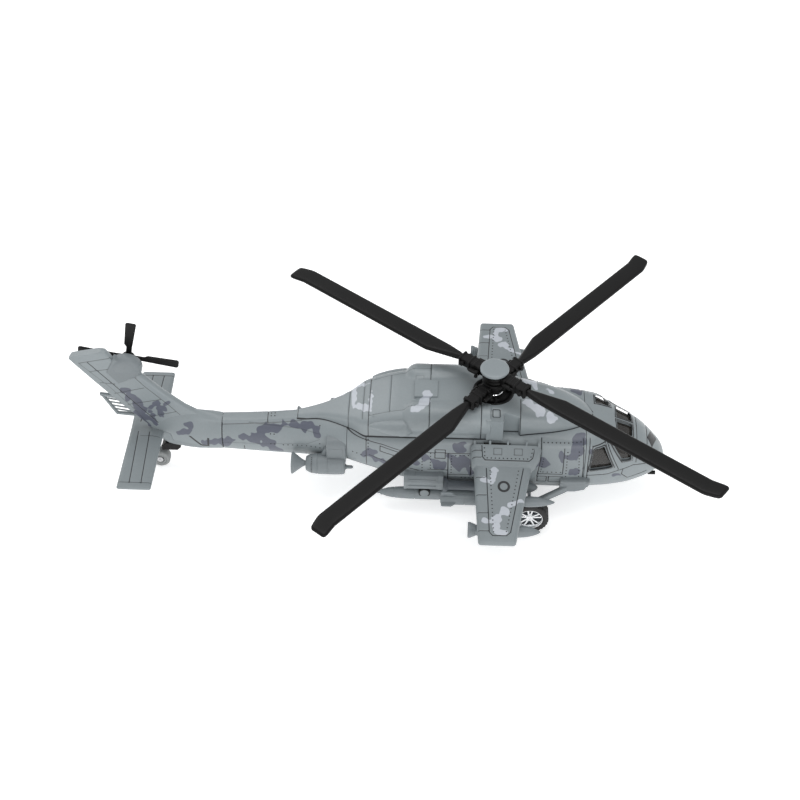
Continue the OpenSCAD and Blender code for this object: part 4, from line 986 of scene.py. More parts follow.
fin = Skin(slab([
    fin_station(-163.4, 22.4, -140, 22.4, 3.8), fin_station(-167.4, 27.4, -138, 34.9, 3.8),
    fin_station(-172.6, 33.4, -142.6, 36.8), fin_station(-179.8, 41.8, -148.4, 40.6),
    fin_station(-186.0, 49.6, -158, 49.6), fin_station(-191.8, 57.0, -168.6, 61.4),
    fin_station(-197.3, 64.3, -178.2, 68.7), fin_station(-199.7, 67.5, -180.4, 70.6),
    fin_station(-201.7, 70.3, -183.3, 75.2), fin_station(-200.7, 71.8, -185.6, 75.5)], 0.4, 0.4, 0.9,
                tip=0.0), 0.4)
FIN_BARS = (
    ((-197, 68.1), (-181.5, 71.8)), ((-192.5, 62.8), (-183.6, 64.6)), ((-188.2, 55.8), (-181.3, 55.3)),
    ((-182.1, 48.9), (-167.5, 53.1)), ((-176.5, 41.8), (-160.1, 45.7)), ((-166.7, 34), (-153.2, 37.9)),
    ((-162.3, 25), (-146.4, 28.2)), ((-178.6, 56.6), (-170.6, 60.2)), ((-181.5, 71.8), (-179.2, 68.4)))
for side in (STARBOARD, PORT):
    m = side_mask(fin, side, 0.5)
    fin.line([(-192.6, 68.6), (-182.9, 56), (-159.2, 25.1)], XZ, m, 0.2)
    fin.line([(-197.0, 68.1), (-184.1, 53.4), (-172.8, 37.6), (-166.5, 25.6)], XZ, m, 0.08, ink=0.35)
    fin.line([(-171.6, 60.4), (-167.5, 54.7), (-156.4, 41.8), (-145.8, 28.2)], XZ, m, 0.12, ink=0.6)
    fin.lines(XZ, m, 0.12, *FIN_BARS, ink=0.6)
dark_patches(fin, FIN_PATCHES, 8.0)
fin.build("tail_fin_plate", "airframe", "tail_fin", "body", paint)
cone = Skin(ellipse_sections(spread(-168.4, -131.05, GAP), TAIL_END, 200), GAP)
cone.lift += ridge(cone) * step(-146, -136, cone.p[..., 0])
for side in (STARBOARD, PORT):
    cone.line([(-131.3, 36), (-131.3, 12)], XZ, side_mask(cone, side, 0.05), 0.2)
dark_patches(cone, FIN_PATCHES, 8.0)
KEEL_LINE = [(-172, 28.6), (-165.3, 26.2), (-157.2, 24.4), (-156.3, 20.0), (-142.1, 19.4), (-139.4, 16.4)]
rim = np.abs(cone.inside([(-156.5, 28), (-156.5, 20.2), (-142.0, 19.6), (-138.8, 16.4), (-138, 28)],
                         XZ)) - 0.5
cone.mark(rim, cone.p[..., 2] < 25.2)
cone_piece = cone.build("tail_cone", "airframe", "tail_fin", "body", paint)
cut(cone_piece, [prism("keel_cut", KEEL_LINE + [(-139.4, 6), (-172, 6)], 1, -20, 20)])
keel = Skin(ellipse_sections(spread(-166.4, -139.9, GAP), TAIL_END, 160), GAP)
keel.p[..., 1] *= 0.97
keel_piece = keel.build("tail_keel_skin", "airframe", "tail_keel", "body_dark", plastic)
above_keel = [(x - 0.15, z - 0.2) for x, z in KEEL_LINE] + [(-130, 16), (-130, 60), (-180, 60), (-180, 28.4)]
cut(keel_piece, [prism("keel_top_cut", above_keel, 1, -20, 20)])


def extrusion(name, poly, axis, a, b, body, node, slot, material, bevel=0.25):
    """A flat piece with rounded edges."""
    ob = prism(name, poly, axis, a, b)
    ob.data.materials.append(material)
    if bevel:
        mod = soften(ob, bevel)
        mod.limit_method = "ANGLE"
        mod.angle_limit = math.radians(35)
    ob.data.shade_smooth()
    ob.data.set_sharp_from_angle(angle=math.radians(50))
    if material in PAINTED:
        shaped_like_paint(ob)
    finish_piece(ob, body, node)
    return ob


# where a piece goes is given as (body, node, slot, material)
FIN_PART = ("airframe", "tail_fin", "body", plastic)
for name, poly in (("top", [(-189.9, 47.4), (-189.9, 46.0), (-178.6, 43.6), (-178.6, 46.0)]),
                   ("edge", [(-189.7, 46.9), (-188.3, 46.6), (-182.2, 34.6), (-183.4, 34.0)]),
                   ("foot", [(-183.6, 35.0), (-183.2, 33.7), (-172.8, 32.7), (-172.8, 34.2)])):
    extrusion("fin_rack_" + name, poly, 1, -0.8, 0.8, *FIN_PART, 0.3)
for i in range(4):
    x, z = -187.3 + 1.22 * i, 44.4 - 2.35 * i
    extrusion(f"fin_rack_slat_{i}", [(x - 0.2, z), (x + 9.6, z - 1.9), (x + 9.6, z - 2.6),
                                     (x + 0.1, z - 0.7)],
              1, -0.35, 0.35, *FIN_PART, 0.15)

# ---------------------------------------------------------------- stabiliser and wings

REACH = max(abs(v * 1000) for v in (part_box("stub_wing_port")[1].y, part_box("stabiliser")[1].y))
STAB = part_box("stabiliser")[1].y * 1000


def flat_station(ax, ay, az, bx, t, side):
    return (ax, side * ay, az), (bx, side * ay, az), t, (0, 0, 1)


def stabiliser_half(side, word):
    """One side of the stabiliser with its seams."""
    stab = Skin(slab([flat_station(-177.2, 0.0, 23.8, -160.9, 3.0, side),
                      flat_station(-177.3, 8, 23.8, -160.9, 2.8, side),
                      flat_station(-177.9, STAB - 0.02, 23.6, -161.4, 2.3, side)], 0.42, 1.3, 1.5, tip=0.8),
                0.42)
    top = stab.facing(2, 1, 0.5)
    for k0, k1 in ((0.26, 0.30), (0.60, 0.66)):
        stab.line([(-177.2 + 16.3 * k0, side * 3.5), (-177 + 15.6 * k1 + 0.3, side * (STAB - 3))], XY, top,
                  0.2)
    stab.line([(-178, side * (STAB - 3.2)), (-160, side * (STAB - 3.2))], XY, top, 0.14, ink=0.7)
    stab.line([(-171.6, side * 6.4), (-166, side * 6.2), (-162, side * 7.0)], XY, top, 0.14, ink=0.5)
    stab.build("stabiliser_" + word, "airframe", "stabiliser", "wings", plastic)


def stub_wing(side, word):
    """A wing with its root fairing, panel lines, ring, patches and rivets."""
    wing = Skin(slab([
        flat_station(-10.3, 22.1, 39, 23.4, 7, side), flat_station(-10, 26, 36.9, 22.6, 6.5, side),
        flat_station(-9.6, 29.2, 34.9, 20.6, 6.1, side), flat_station(-9.3, 30.0, 34.4, 19.6, 5.9, side),
        flat_station(-8.4, 30.6, 33.8, 18.7, 5.2, side), flat_station(-7.4, 50, 33.0, 15.4, 4.6, side),
        flat_station(-6.1, REACH - 0.02, 32.2, 11.4, 3.7, side)], 0.4, 0.8, 1.0, tip=1.4), 0.4)
    top = wing.facing(2, 1, 0.35)
    part = ("airframe", "stub_wing_" + word, "wings", plastic)
    panel = [(-2.5, 31.4), (-0.9, 69.6), (0.6, 71.6), (7.0, 71.4), (8.8, 69.4), (14.9, 31.2)]
    wing.line(mirrored(panel, side), XY, top, 0.28)
    plate = [(-4.9, 22.4), (-4.4, 27.2), (-3.2, 28.4), (17.6, 28.4), (19.2, 27.2), (20.4, 22.4)]
    wing.line(mirrored(plate, side), XY, top, 0.26)
    for y in (37.3, 47.9, 58.5, 69.0):
        x0 = np.interp(y, [30.6, 50, REACH], [-8.4, -7.4, -5.4])
        wing.line([(x0, side * y), (x0 + 4.9, side * y)], XY, top, 0.24, ink=0.85)
    for y in (24.6, 27.4):
        wing.line([(-10, side * y), (-5.2, side * y)], XY, top, 0.24, ink=0.7)
    for x0 in (0.8, 10.5):
        sq = mirrored([(x0, 23.6), (x0 + 3.8, 23.6), (x0 + 3.8, 26.2), (x0, 26.2)], side)
        wing.panel(sq, XY, top, 0.18, 0.35)
        wing.line(sq, XY, top, 0.08, ink=0.5, closed=True)
    ring = np.hypot((wing.p[..., 0] - 5.7) / 2.35, (wing.p[..., 1] * side - 42.6) / 2.75)
    wing.mark(np.abs(ring - 1) * 2.5 - 0.6, top)
    wing.paint("light", [
        (1.2, 32.6, 1.9, 1.6, 0), (0.6, 36.0, 1.8, 2.4, 20), (-3.2, 39.0, 2.9, 1.5, 10),
        (0.6, 39.4, 1.4, 1.8, 0), (13.4, 51.0, 2.4, 1.0, -10), (9.6, 53.2, 2.6, 1.3, -30),
        (6.0, 57.4, 2.5, 2.6, -50), (2.6, 61.8, 2.6, 2.2, -40), (-1.6, 63.4, 3.0, 1.5, 10),
        (2.2, 67.0, 1.7, 3.2, 0), (4.6, 69.6, 3.2, 1.7, 0)], (wing.p[..., 0], wing.p[..., 1] * side), top,
               3.0 + side, 0.5, 0.45)
    for a, b in (((-0.7, 33.2), (1.0, 69.6)), ((12.6, 33.0), (6.9, 69.2))):
        rivet_row(wing, "airframe", (a[0], side * a[1]), (b[0], side * b[1]), XY, top, 2.35, 0.34)
    for a, b in (((-3.6, 23.6), (-3.4, 26.8)), ((-2.2, 27.6), (16.8, 27.6)), ((18.4, 26.8), (19.2, 23.6))):
        rivet_row(wing, "airframe", (a[0], side * a[1]), (b[0], side * b[1]), XY, top, 1.9, 0.32)
    wing.build("stub_wing_" + word + "_skin", *part)


def wing_fittings(side, word):
    """Pins and rod at the root and the pylons that hold the stores."""
    part = ("airframe", "stub_wing_" + word, "wings", plastic)
    for x in (-8.2, -1.0, 7.4, 16.2, 22.0):
        lathe(f"root_pin_{word}_{x:.0f}", [(0, -1.4), (0.62, -1.4), (0.62, 0.9), (0.45, 1.25), (0, 1.35)],
              (x, side * 21.2, 42.6), (0, side * -0.55, 1), *part, 20)
    lathe(f"root_rod_{word}", [(0, -6.4), (0.5, -6.4), (0.5, 6.2), (0, 6.2)], (2.4, side * 21.3, 42.2),
          (1, 0, 0), "airframe", "stub_wing_" + word, "wings", black, 16)
    for name, x0, x1, y, z0 in (("inner", -3, 12, 40, 25.4), ("outer", -2, 9, 61, 28.2)):
        extrusion(f"pylon_{name}_{word}", [(x0, z0), (x1 - 1.5, z0), (x1 + 0.6, 32.4), (x0 + 0.5, 32.4)], 1,
                  side * y - 0.95, side * y + 0.95, *part, 0.3)


for side, word in SIDE_WORDS:
    stabiliser_half(side, word)
    stub_wing(side, word)
    wing_fittings(side, word)

# ---------------------------------------------------------------- rotor blades

LOWER_Z, UPPER_Z = 61.4, 67.0
LOWER_ANGLE, UPPER_ANGLE = 51.24, 143.82
BLADES = (("blade_front_port", LOWER_ANGLE, LOWER_Z, "rotor"),
          ("blade_rear_starboard", LOWER_ANGLE + 180, LOWER_Z, "rotor"),
          ("blade_rear_port", UPPER_ANGLE, UPPER_Z, "upper_pair"),
          ("blade_front_starboard", UPPER_ANGLE + 180, UPPER_Z, "upper_pair"))


def turned(points, angle):
    p = np.array(points, float)
    c, s = math.cos(math.radians(angle)), math.sin(math.radians(angle))
    return np.stack([p[..., 0] * c - p[..., 1] * s, p[..., 0] * s + p[..., 1] * c, p[..., 2]], -1)


def spar(r, lag, lead, z, t):
    return (r, lag, z), (r, lead, z), t, (0, 0, 1)


for name, angle, z, body in BLADES:
    rows = slab([spar(19.6, -2.0, 1.6, z, 2.9), spar(22, -2.5, 2.3, z, 2.9), spar(28, -3.2, 3.8, z, 2.7),
                 spar(33, -3.4, 5.1, z, 2.5), spar(36.4, -3.45, 5.95, z, 2.4), spar(37.6, -3.5, 6.1, z, 2.4),
                 spar(76, -4.1, 5.4, z, 2.3), spar(115.4, -4.8, 4.75, z, 2.2), spar(117.4, -4.5, 5.1, z, 2.2),
                 spar(121.0, -3.4, 5.8, z, 2.15), spar(123.9, -2.55, 6.25, z, 2.1)], 0.7, 1.0, 1.3, 0.35,
                tip=1.9)
    Skin(turned(rows, angle), 0.7).build(name + "_skin", body, name, "rotor", black, smooth=50)
    tang = slab([spar(9.4, -1.38, 1.38, z, 2.9), spar(19.9, -1.38, 1.38, z, 2.9)], 1.2, 0.3, 0.3, tip=0.0)
    Skin(turned(tang, angle), 1.0).build(name + "_tang", body, name, "rotor", black, smooth=50)

# ---------------------------------------------------------------- rotor head


def block(name, at, size, angle, body, node, slot, material, bevel):
    """A bevelled block centred at a place measured along and across an arm turned by angle."""
    x, y, z = size[0] / 2, size[1] / 2, size[2] / 2
    corners = [(sx * x, sy * y, sz * z) for sx in (-1, 1) for sy in (-1, 1) for sz in (-1, 1)]
    pts = turned(np.array(corners) + np.array(at, float), angle)
    faces = [(0, 1, 3, 2), (4, 6, 7, 5), (0, 4, 5, 1), (2, 3, 7, 6), (0, 2, 6, 4), (1, 5, 7, 3)]
    soften(mesh_object(name, pts, faces, body, node, material, 45), bevel)


def arm_point(p, angle):
    """A place along and across an arm, turned by the arm's angle."""
    return tuple(turned(np.array([p], float), angle)[0])


HUBS = (("lower", LOWER_Z, LOWER_ANGLE, "rotor", "hub_lower"),
        ("upper", UPPER_Z, UPPER_ANGLE, "upper_pair", "hub_upper"))
DRUM = [(1.56, -2.3), (5.0, -2.3), (5.6, -1.7), (5.6, -0.5), (5.2, -0.3), (5.2, 0.3), (5.6, 0.5), (5.6, 1.7),
        (5.0, 2.3), (1.56, 2.3)]
LINK_TOP = [(0, -1.6), (0.95, -1.6), (0.95, -1.0), (0.6, -0.7), (0.6, 1.0), (0.95, 1.2), (0.95, 1.7),
            (0, 1.7)]
DAMPER = [(0, -3.0), (0.8, -3.0), (1.0, -2.7), (1.0, 0.8), (0.55, 1.0), (0.55, 3.0), (0, 3.0)]
CUFF_BOLT = [(0, -0.5), (1.25, -0.5), (1.25, 0.35), (0.95, 0.6), (0, 0.6)]
# place along the arm, width, height
CUFF_BANDS = ((7.4, 6.3, 4.9), (10.4, 5.7, 4.6), (13.2, 6.4, 4.9), (18.6, 5.9, 4.8))


def cuff(tag, z, turn, part):
    """One arm of the head: cheeks, plates and bands round the blade's root, horn, link, damper and bolts."""
    for y in (-2.05, 2.05):
        block(f"cuff_cheek_{tag}_{y:.0f}", (12.4, y, z), (14.2, 1.05, 4.3), turn, *part, 0.28)
    for dz in (-1.95, 1.95):
        block(f"cuff_plate_{tag}_{dz:.0f}", (12.2, 0, z + dz), (13.6, 4.6, 0.75), turn, *part, 0.22)
    for x, w, h in CUFF_BANDS:
        for y in (-1, 1):
            block(f"cuff_band_{tag}_{x:.0f}_{y}", (x, y * w / 2.35, z), (1.1, w * 0.16, h), turn, *part, 0.25)
        for e in (-1, 1):
            block(f"cuff_strap_{tag}_{x:.0f}_{e}", (x, 0, z + e * h / 2.1), (1.1, w * 0.86, 0.5), turn,
                  *part, 0.2)
    block(f"pitch_horn_{tag}", (9.4, 3.9, z - 0.5), (5.4, 2.0, 1.5), turn, *part, 0.4)
    lathe(f"link_top_{tag}", LINK_TOP, arm_point((7.6, 4.4, z - 0.9), turn), UP, *part, 20)
    lathe(f"damper_{tag}", DAMPER, arm_point((10.6, -3.6, z + 0.5), turn), arm_point((1, 0.06, 0), turn),
          *part, 20)
    for y in (-3.2, 3.2):
        lathe(f"cuff_bolt_{tag}_{y:.0f}", CUFF_BOLT, arm_point((16.8, y, z), turn),
              arm_point((0, math.copysign(1, y), 0), turn), *part, 24)


for word, z, angle, body, node in HUBS:
    part = (body, node, "rotor", black)
    lathe(f"hub_drum_{word}", DRUM, (0, 0, z), UP, *part, 48)
    cuff(f"{word}_0", z, angle, part)
    cuff(f"{word}_1", z, angle + 180, part)

# links, dish, mast collar and cap
SWASH = ("airframe", "swashplate", "rotor", black)
SWASH_LINK = [(0, -1.5), (0.9, -1.5), (0.9, -0.9), (0.5, -0.6), (0.5, 1.3), (0.85, 1.5), (0.85, 2.0),
              (0, 2.0)]
DISH = [(3.42, -7.6), (3.42, 0.1), (9.6, 0.1), (9.72, 0.5), (9.72, 3.0), (9.5, 3.45), (9.15, 3.6), (8.8, 3.4),
        (8.5, 2.75), (7.9, 2.45), (6.6, 2.3), (6.2, 2.5), (5.9, 3.1), (5.4, 3.3), (3.9, 3.3), (3.6, 3.9),
        (3.1, 4.0), (1.6, 4.0), (1.6, -7.6)]
COLLAR = [(1.55, 0.1), (4.5, 0.1), (4.7, 0.35), (4.5, 0.7), (3.3, 0.85), (3.1, 1.3), (2.55, 1.45),
          (2.55, 1.75), (1.55, 1.75)]
CAP = [(0, -2.5), (2.6, -2.5), (2.6, -1.72), (6.3, -1.72), (6.65, -1.6), (6.85, -1.3), (6.85, -0.75),
       (6.7, -0.45), (6.35, -0.25), (5.95, -0.18), (5.7, -0.12), (3.0, -0.05), (0, -0.02)]
for k in range(4):
    lathe(f"swash_link_{k}", SWASH_LINK, arm_point((7.4, 0, 57.6), 7.5 + 90 * k), UP, *SWASH, 18)
lathe("swash_dish", DISH, (0, 0, 53.3), UP, *SWASH, 72, closed=True)
lathe("collar_rings", COLLAR, (0, 0, 57.3), UP, "rotor", "mast_collar", "steel", chrome, 40, closed=True)
cap_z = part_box("rotor_cap")[1].z * 1000
lathe("rotor_cap_disc", CAP, (0, 0, cap_z), UP, "rotor", "rotor_cap", "cap", pale_cap, 72)

# ---------------------------------------------------------------- stores under the wings and boom

def along(name, profile, x, y, z, side, node, material=None, n=44, axis=(1, 0, 0)):
    """A turned piece on one side, lying along x unless told otherwise."""
    return lathe(f"{name}_{'starboard' if side < 0 else 'port'}", profile, (x, side * y, z), axis,
                 "airframe", node, "stores", material or plain_grey, n)


POD_Y, POD_Z = 16.0, 19.5
MISSILE = [(0, 0), (1.8, 0), (2.3, 0.4), (2.6, 1), (2.6, 9), (2.44, 9.1), (2.44, 9.5), (2.6, 9.6),
           (2.6, 37.6), (2.42, 37.7), (2.42, 38.1), (2.6, 38.2), (2.55, 41), (2.4, 43.6), (1.9, 47),
           (1.1, 50), (0.4, 51.7), (0, 52)]
POD = [(0, 2.2), (2.7, 2.2), (3.3, 0.4), (3.6, 0), (3.7, 0.4), (3.7, 1.3), (3.3, 1.8), (3.35, 2.2),
       (3.0, 2.6), (3.05, 3.1), (2.6, 3.5), (2.5, 4.4), (2.9, 4.8), (3, 5.4), (3, 20), (2.84, 20.1),
       (2.84, 20.5), (3, 20.6), (2.92, 23.4), (2.7, 26), (2.3, 28.4), (1.7, 30.6), (0.95, 32.5),
       (0.4, 33.4), (0, 33.6)]
BARREL = [(0, 0), (3.2, 0), (3.6, 0.3), (4.5, 2), (4.9, 4), (5.1, 5.6), (4.96, 5.7), (4.96, 6.0), (5.14, 6.1),
          (5.2, 10.6), (5.06, 10.7), (5.06, 11.0), (5.2, 11.1), (5.16, 15), (5.0, 17.8), (4.8, 18.6),
          (4.4, 19), (0, 19)]
HORN = [(0, 2.4), (4.6, 0.5), (5.2, 0), (5.5, 0.25), (5.35, 0.7), (4.2, 2.2), (2.9, 3.9), (1.9, 5.3),
        (1.25, 6.6), (1.2, 8), (0, 8)]
PROBE = [(0, 0), (1.4, 0), (1.45, 0.7), (0.9, 1.2), (0.85, 3.4), (0.6, 4.1), (0, 4.4)]
TORPEDO = [(0, 0), (0.7, 0), (0.9, 0.3), (0.9, 1.6), (1.4, 1.6), (1.5, 3), (2.2, 5), (2.62, 8), (2.5, 8.1),
           (2.5, 8.5), (2.7, 8.6), (2.95, 12), (3.1, 18), (2.95, 18.1), (2.95, 18.5), (3.1, 18.6), (3.1, 30),
           (2.95, 30.1), (2.95, 30.5), (3.1, 30.6), (3.1, 44), (2.9, 46.4), (2.5, 48.4), (1.9, 50.2),
           (1.0, 51.6), (0, 52)]
RACK_TUBE = [(0, 0), (3.4, 0), (3.6, 0.5), (3.4, 1.7), (2.7, 2.3), (2.4, 2.7), (2.4, 35.4), (1.8, 37),
             (0, 37)]
RACK_NOSE = [(0, 0), (2.8, 0), (3.4, 1.2), (3.35, 2.6), (3.15, 2.7), (3.15, 3.0), (3.25, 3.1), (3, 5),
             (2.5, 7), (1.8, 8.6), (0.9, 9.9), (0, 10.4)]
MISSILE_Y, MISSILE_Z = 40, 23
ROCKET_Y, ROCKET_Z = 61, 25.4
RACK_Y, RACK_Z = 24.5, 16.4
TORPEDO_Z = 10


def missile(side, word):
    """Inner store: a body whose rear end is drawn out by 2.2 mm, and four fins."""
    drawn_out = [(r, h - 2.2 if h < 8 else h) for r, h in MISSILE]
    along("missile", drawn_out, -21.6, MISSILE_Y, MISSILE_Z, side, "missiles")
    fin_part = ("airframe", "missiles", "stores", plain_grey)
    for k, (du, dw) in enumerate(((1, 0), (-1, 0), (0, 1), (0, -1))):
        pts = [(-23.4, 2.3), (-23.4, 4.3), (-22.8, 4.6), (-18.6, 4.6), (-15.6, 2.3)]
        if du:
            poly = [(x, side * MISSILE_Y + du * r) for x, r in pts]
            extrusion(f"missile_fin_{k}_{word}", poly, 2, MISSILE_Z - 0.38, MISSILE_Z + 0.38, *fin_part, 0.22)
        else:
            poly = [(x, MISSILE_Z + dw * r) for x, r in pts]
            y = side * MISSILE_Y
            extrusion(f"missile_fin_{k}_{word}", poly, 1, y - 0.38, y + 0.38, *fin_part, 0.22)


def rocket_pod(side, word):
    """Outer store with seven launch tubes in its rear end."""
    along("rocket_pod", POD, -10.6, ROCKET_Y, ROCKET_Z, side, "rocket_pods")
    for k in range(7):
        a = math.tau * k / 6
        r = 0 if k == 6 else 1.55
        lathe(f"rocket_tube_{k}_{word}", [(0, 0), (0.5, 0), (0.5, 0.5), (0.34, 0.5), (0.34, 0.15), (0, 0.15)],
              (-8.5, side * ROCKET_Y + r * math.cos(a), ROCKET_Z + r * math.sin(a)), (-1, 0, 0), "airframe",
              "rocket_pods", "stores", black, 14)


def boom_pod(side, word):
    """Flare pod beside the boom's root, with its saddle, keel and rivets."""
    node = "boom_pod_" + word
    part = ("airframe", node, "stores", plain_grey)
    along("boom_pod_barrel", BARREL, -89.6, POD_Y, POD_Z, side, node)
    along("boom_pod_horn", HORN, -96.6, POD_Y, POD_Z, side, node)
    along("boom_pod_probe", PROBE, -71, POD_Y, POD_Z - 1.8, side, node, n=24)
    extrusion(f"boom_pod_saddle_{word}", [(side * 8.4, 22.6), (side * 8.4, 34.6), (side * 14.0, 34.6),
                                          (side * 16.4, 33.0), (side * 17.1, 31.4), (side * 17.1, 22)],
              0, -79.5, -70.1, *part, 0.5)
    extrusion(f"boom_pod_panel_{word}", [(-78.4, 25.4), (-71.4, 25.4), (-71.4, 30.6), (-78.4, 30.6)], 1,
              *sorted((side * 16.8, side * 17.25)), *part, 0.12)
    extrusion(f"boom_pod_keel_{word}", [(-84, 19.9), (-70.2, 19.9), (-70.2, 28.4), (-80.6, 28.4)], 1,
              *sorted((side * 12.5, side * 15.3)), *part, 0.5)
    for x in (-86.6, -80.4, -75.4):
        for k in range(-2, 7):
            a = math.radians(12 * k + 6)
            nrm = (0, side * math.cos(a), math.sin(a))
            rivet("airframe", (x, side * POD_Y + nrm[1] * 5.0, POD_Z + nrm[2] * 5.0), nrm, 0.24)


def side_rack(side, word):
    """Box, rails, tube and nose along the cabin's foot."""
    node = "side_rack_" + word
    part = ("airframe", node, "stores", plain_grey)
    body_ring = [(16.2, 15.2), (16.2, 21.0), (18.6, 22.5), (25.2, 22.5), (27.5, 20.2), (27.5, 16.2),
                 (25.4, 13.7), (18, 13.7)]
    band_ring = [(21.8 + (y - 21.8) * 1.01, 18.1 + (z - 18.1) * 1.05) for y, z in body_ring]
    extrusion("side_rack_body_" + word, [(side * y, z) for y, z in body_ring], 0, -41.2, -22.9, *part, 0.45)
    for k, (a, b) in enumerate(((-41.6, -40.0), (-36.6, -36.1), (-25.2, -22.6))):
        extrusion(f"side_rack_band_{k}_{word}", [(side * y, z) for y, z in band_ring], 0, a, b, *part, 0.18)
    for k, (y, z) in enumerate(((21.8, 22.6), (26.6, 21.2), (27.6, 18.2))):
        lathe(f"side_rack_rail_{k}_{word}", [(0, 0), (0.32, 0.2), (0.32, 13.2), (0, 13.4)],
              (-39.4, side * y, z - 0.12), (1, 0, 0), *part, 10)
    along("side_rack_tube", RACK_TUBE, -22.8, RACK_Y, RACK_Z, side, node, dark_grey)
    along("side_rack_nose", RACK_NOSE, 12.6, RACK_Y, RACK_Z, side, node)
    along("side_rack_lug_rim", [(0, -2.9), (2.75, -2.9), (2.75, 2.9), (0, 2.9)], -31.6, 24.5, 12.9,
          side, node, black, 36, (0, 1, 0))
    along("side_rack_lug", [(0, -3.05), (2.1, -3.05), (2.3, -2.8), (2.3, 2.8), (2.1, 3.05), (0, 3.05)],
          -31.6, 24.5, 12.9, side, node, None, 36, (0, 1, 0))
    extrusion("side_rack_foot_" + word, [(-6, 15.7), (2, 15.7), (2, 17.1), (-6, 17.1)], 1,
              *sorted((side * 20, side * 23)), *part, 0.3)


for side, word in SIDE_WORDS:
    missile(side, word)
    rocket_pod(side, word)
    boom_pod(side, word)
    side_rack(side, word)
    along("torpedo", TORPEDO, -54.6, RACK_Y, TORPEDO_Z, side, "torpedoes")

# ---------------------------------------------------------------- landing gear

WHEEL_X, WHEEL_Z, TRACK = 19.3, 9.0, 39.0
TYRE_BLOCKS = 28
TREAD = [(6.3, -3.1), (7.0, -3.4), (8.1, -3.5), (8.7, -3.2), (8.82, -2.6), (8.82, 2.6), (8.7, 3.2),
         (8.1, 3.5), (7.0, 3.4), (6.3, 3.1)]
RIM_RING = [(5.3, -2.9), (6.3, -2.9), (6.3, 3.0), (6.15, 3.25), (5.9, 3.25), (5.75, 3.05), (5.6, 2.4),
            (5.3, 1.9)]
RIM_DISH = [(1.05, -2.9), (5.8, -2.9), (5.8, -0.9), (4.4, -0.7), (2.4, -0.4), (1.05, -0.4)]
RIM_CAP = [(0, 0.4), (1.9, 0.4), (1.9, 2.1), (1.6, 2.5), (0.7, 2.5), (0.5, 2.3), (0, 2.3)]
BLOCK_QUAD = ((8.6, -0.62), (8.6, 0.62), (8.99, 0.5), (8.99, -0.5))         # radius, distance along the tyre
SPOKE_QUAD = ((1.5, -0.45), (5.7, -0.42), (5.7, 0.42), (1.5, 0.45))


def wheel_turn(angle):
    return math.cos(angle), math.sin(angle)


def gear_leg(side, word):
    """Fairing, strut and wheel carrier."""
    node = "gear_leg_" + word
    bulge = Skin(slab([((33.6, side * 20.6, 12.4), (33.6, side * 20.6, 21.3), 7.6, (0, side, 0)),
                       ((41, side * 20.6, 12.7), (41, side * 20.6, 21.3), 7.6, (0, side, 0)),
                       ((45.4, side * 20.4, 13.8), (45.4, side * 20.4, 21.1), 7.2, (0, side, 0)),
                       ((48.0, side * 20.2, 15.4), (48.0, side * 20.2, 20.4), 6.0, (0, side, 0))],
                      0.5, 0.55, 0.25, tip=1.6), 0.5)
    bulge.line([(33, 19.2), (49, 19.2)], XZ, bulge.facing(1, side, 0.4), 0.14, ink=0.5)
    bulge.build("gear_fairing_" + word, "airframe", node, "stores", plain_grey)
    strut = slab([((37.0, side * 23.4, 13.6), (37.0, side * 23.4, 17.8), 2.8, (0, side, 0)),
                  ((28.0, side * 26.6, 10.8), (28.0, side * 26.6, 14.6), 2.8, (0, side, 0)),
                  ((WHEEL_X - 1.2, side * 29.8, 7.4), (WHEEL_X - 1.2, side * 29.8, 10.7), 2.8, (0, side, 0))],
                 0.8, 0.6, 0.6, tip=0.8)
    Skin(strut, 0.8).build("gear_strut_" + word, "airframe", node, "stores", plain_grey)
    lathe("gear_hub_" + word, [(1.15, -1.8), (2.2, -1.8), (2.55, -1.4), (2.55, 1.4), (2.2, 1.8), (1.15, 1.8)],
          (WHEEL_X, side * 29.8, WHEEL_Z), (0, 1, 0), "airframe", node, "stores", plain_grey, 32, closed=True)


def wheel(side, word):
    """Tyre with its tread blocks, and the rim with five pairs of spokes."""
    mid, out = side * (TRACK - 3.5), (0, side, 0)
    hub_at = (WHEEL_X, mid, WHEEL_Z)
    tyre = ("main_wheels", "tyre_" + word, "tyre", rubber)
    rim = ("main_wheels", "rim_" + word, "rim", chrome)
    lathe("tyre_tread_" + word, TREAD, hub_at, out, *tyre, 96, closed=True)
    for k in range(TYRE_BLOCKS):
        for row, shift in ((-1.75, 0.0), (1.75, 0.5)):
            c, s = wheel_turn(math.tau * k / TYRE_BLOCKS + shift * math.tau / TYRE_BLOCKS)
            quad = [(WHEEL_X + r * c + t * -s, WHEEL_Z + r * s + t * c) for r, t in BLOCK_QUAD]
            wide = sorted((mid + side * (row - 1.4), mid + side * (row + 1.4)))
            extrusion(f"tyre_block_{word}_{k}_{'in' if row < 0 else 'out'}", quad, 1, *wide, *tyre, 0.0)
    lathe("rim_ring_" + word, RIM_RING, hub_at, out, *rim, 96, closed=True)
    lathe("rim_dish_" + word, RIM_DISH, hub_at, out, "main_wheels", "rim_" + word, "rim", dark_grey, 64,
          closed=True)
    lathe("rim_cap_" + word, RIM_CAP, hub_at, out, *rim, 32)
    for k in range(5):
        for turn in (-13, 13):
            c, s = wheel_turn(math.radians(90 + 72 * k + turn))
            quad = [(WHEEL_X + r * c - t * s, WHEEL_Z + r * s + t * c) for r, t in SPOKE_QUAD]
            wide = sorted((mid + side * 0.6, mid + side * 2.1))
            extrusion(f"rim_spoke_{word}_{k}_{'a' if turn < 0 else 'b'}", quad, 1, *wide, *rim, 0.2)


for side, word in SIDE_WORDS:
    gear_leg(side, word)
    wheel(side, word)

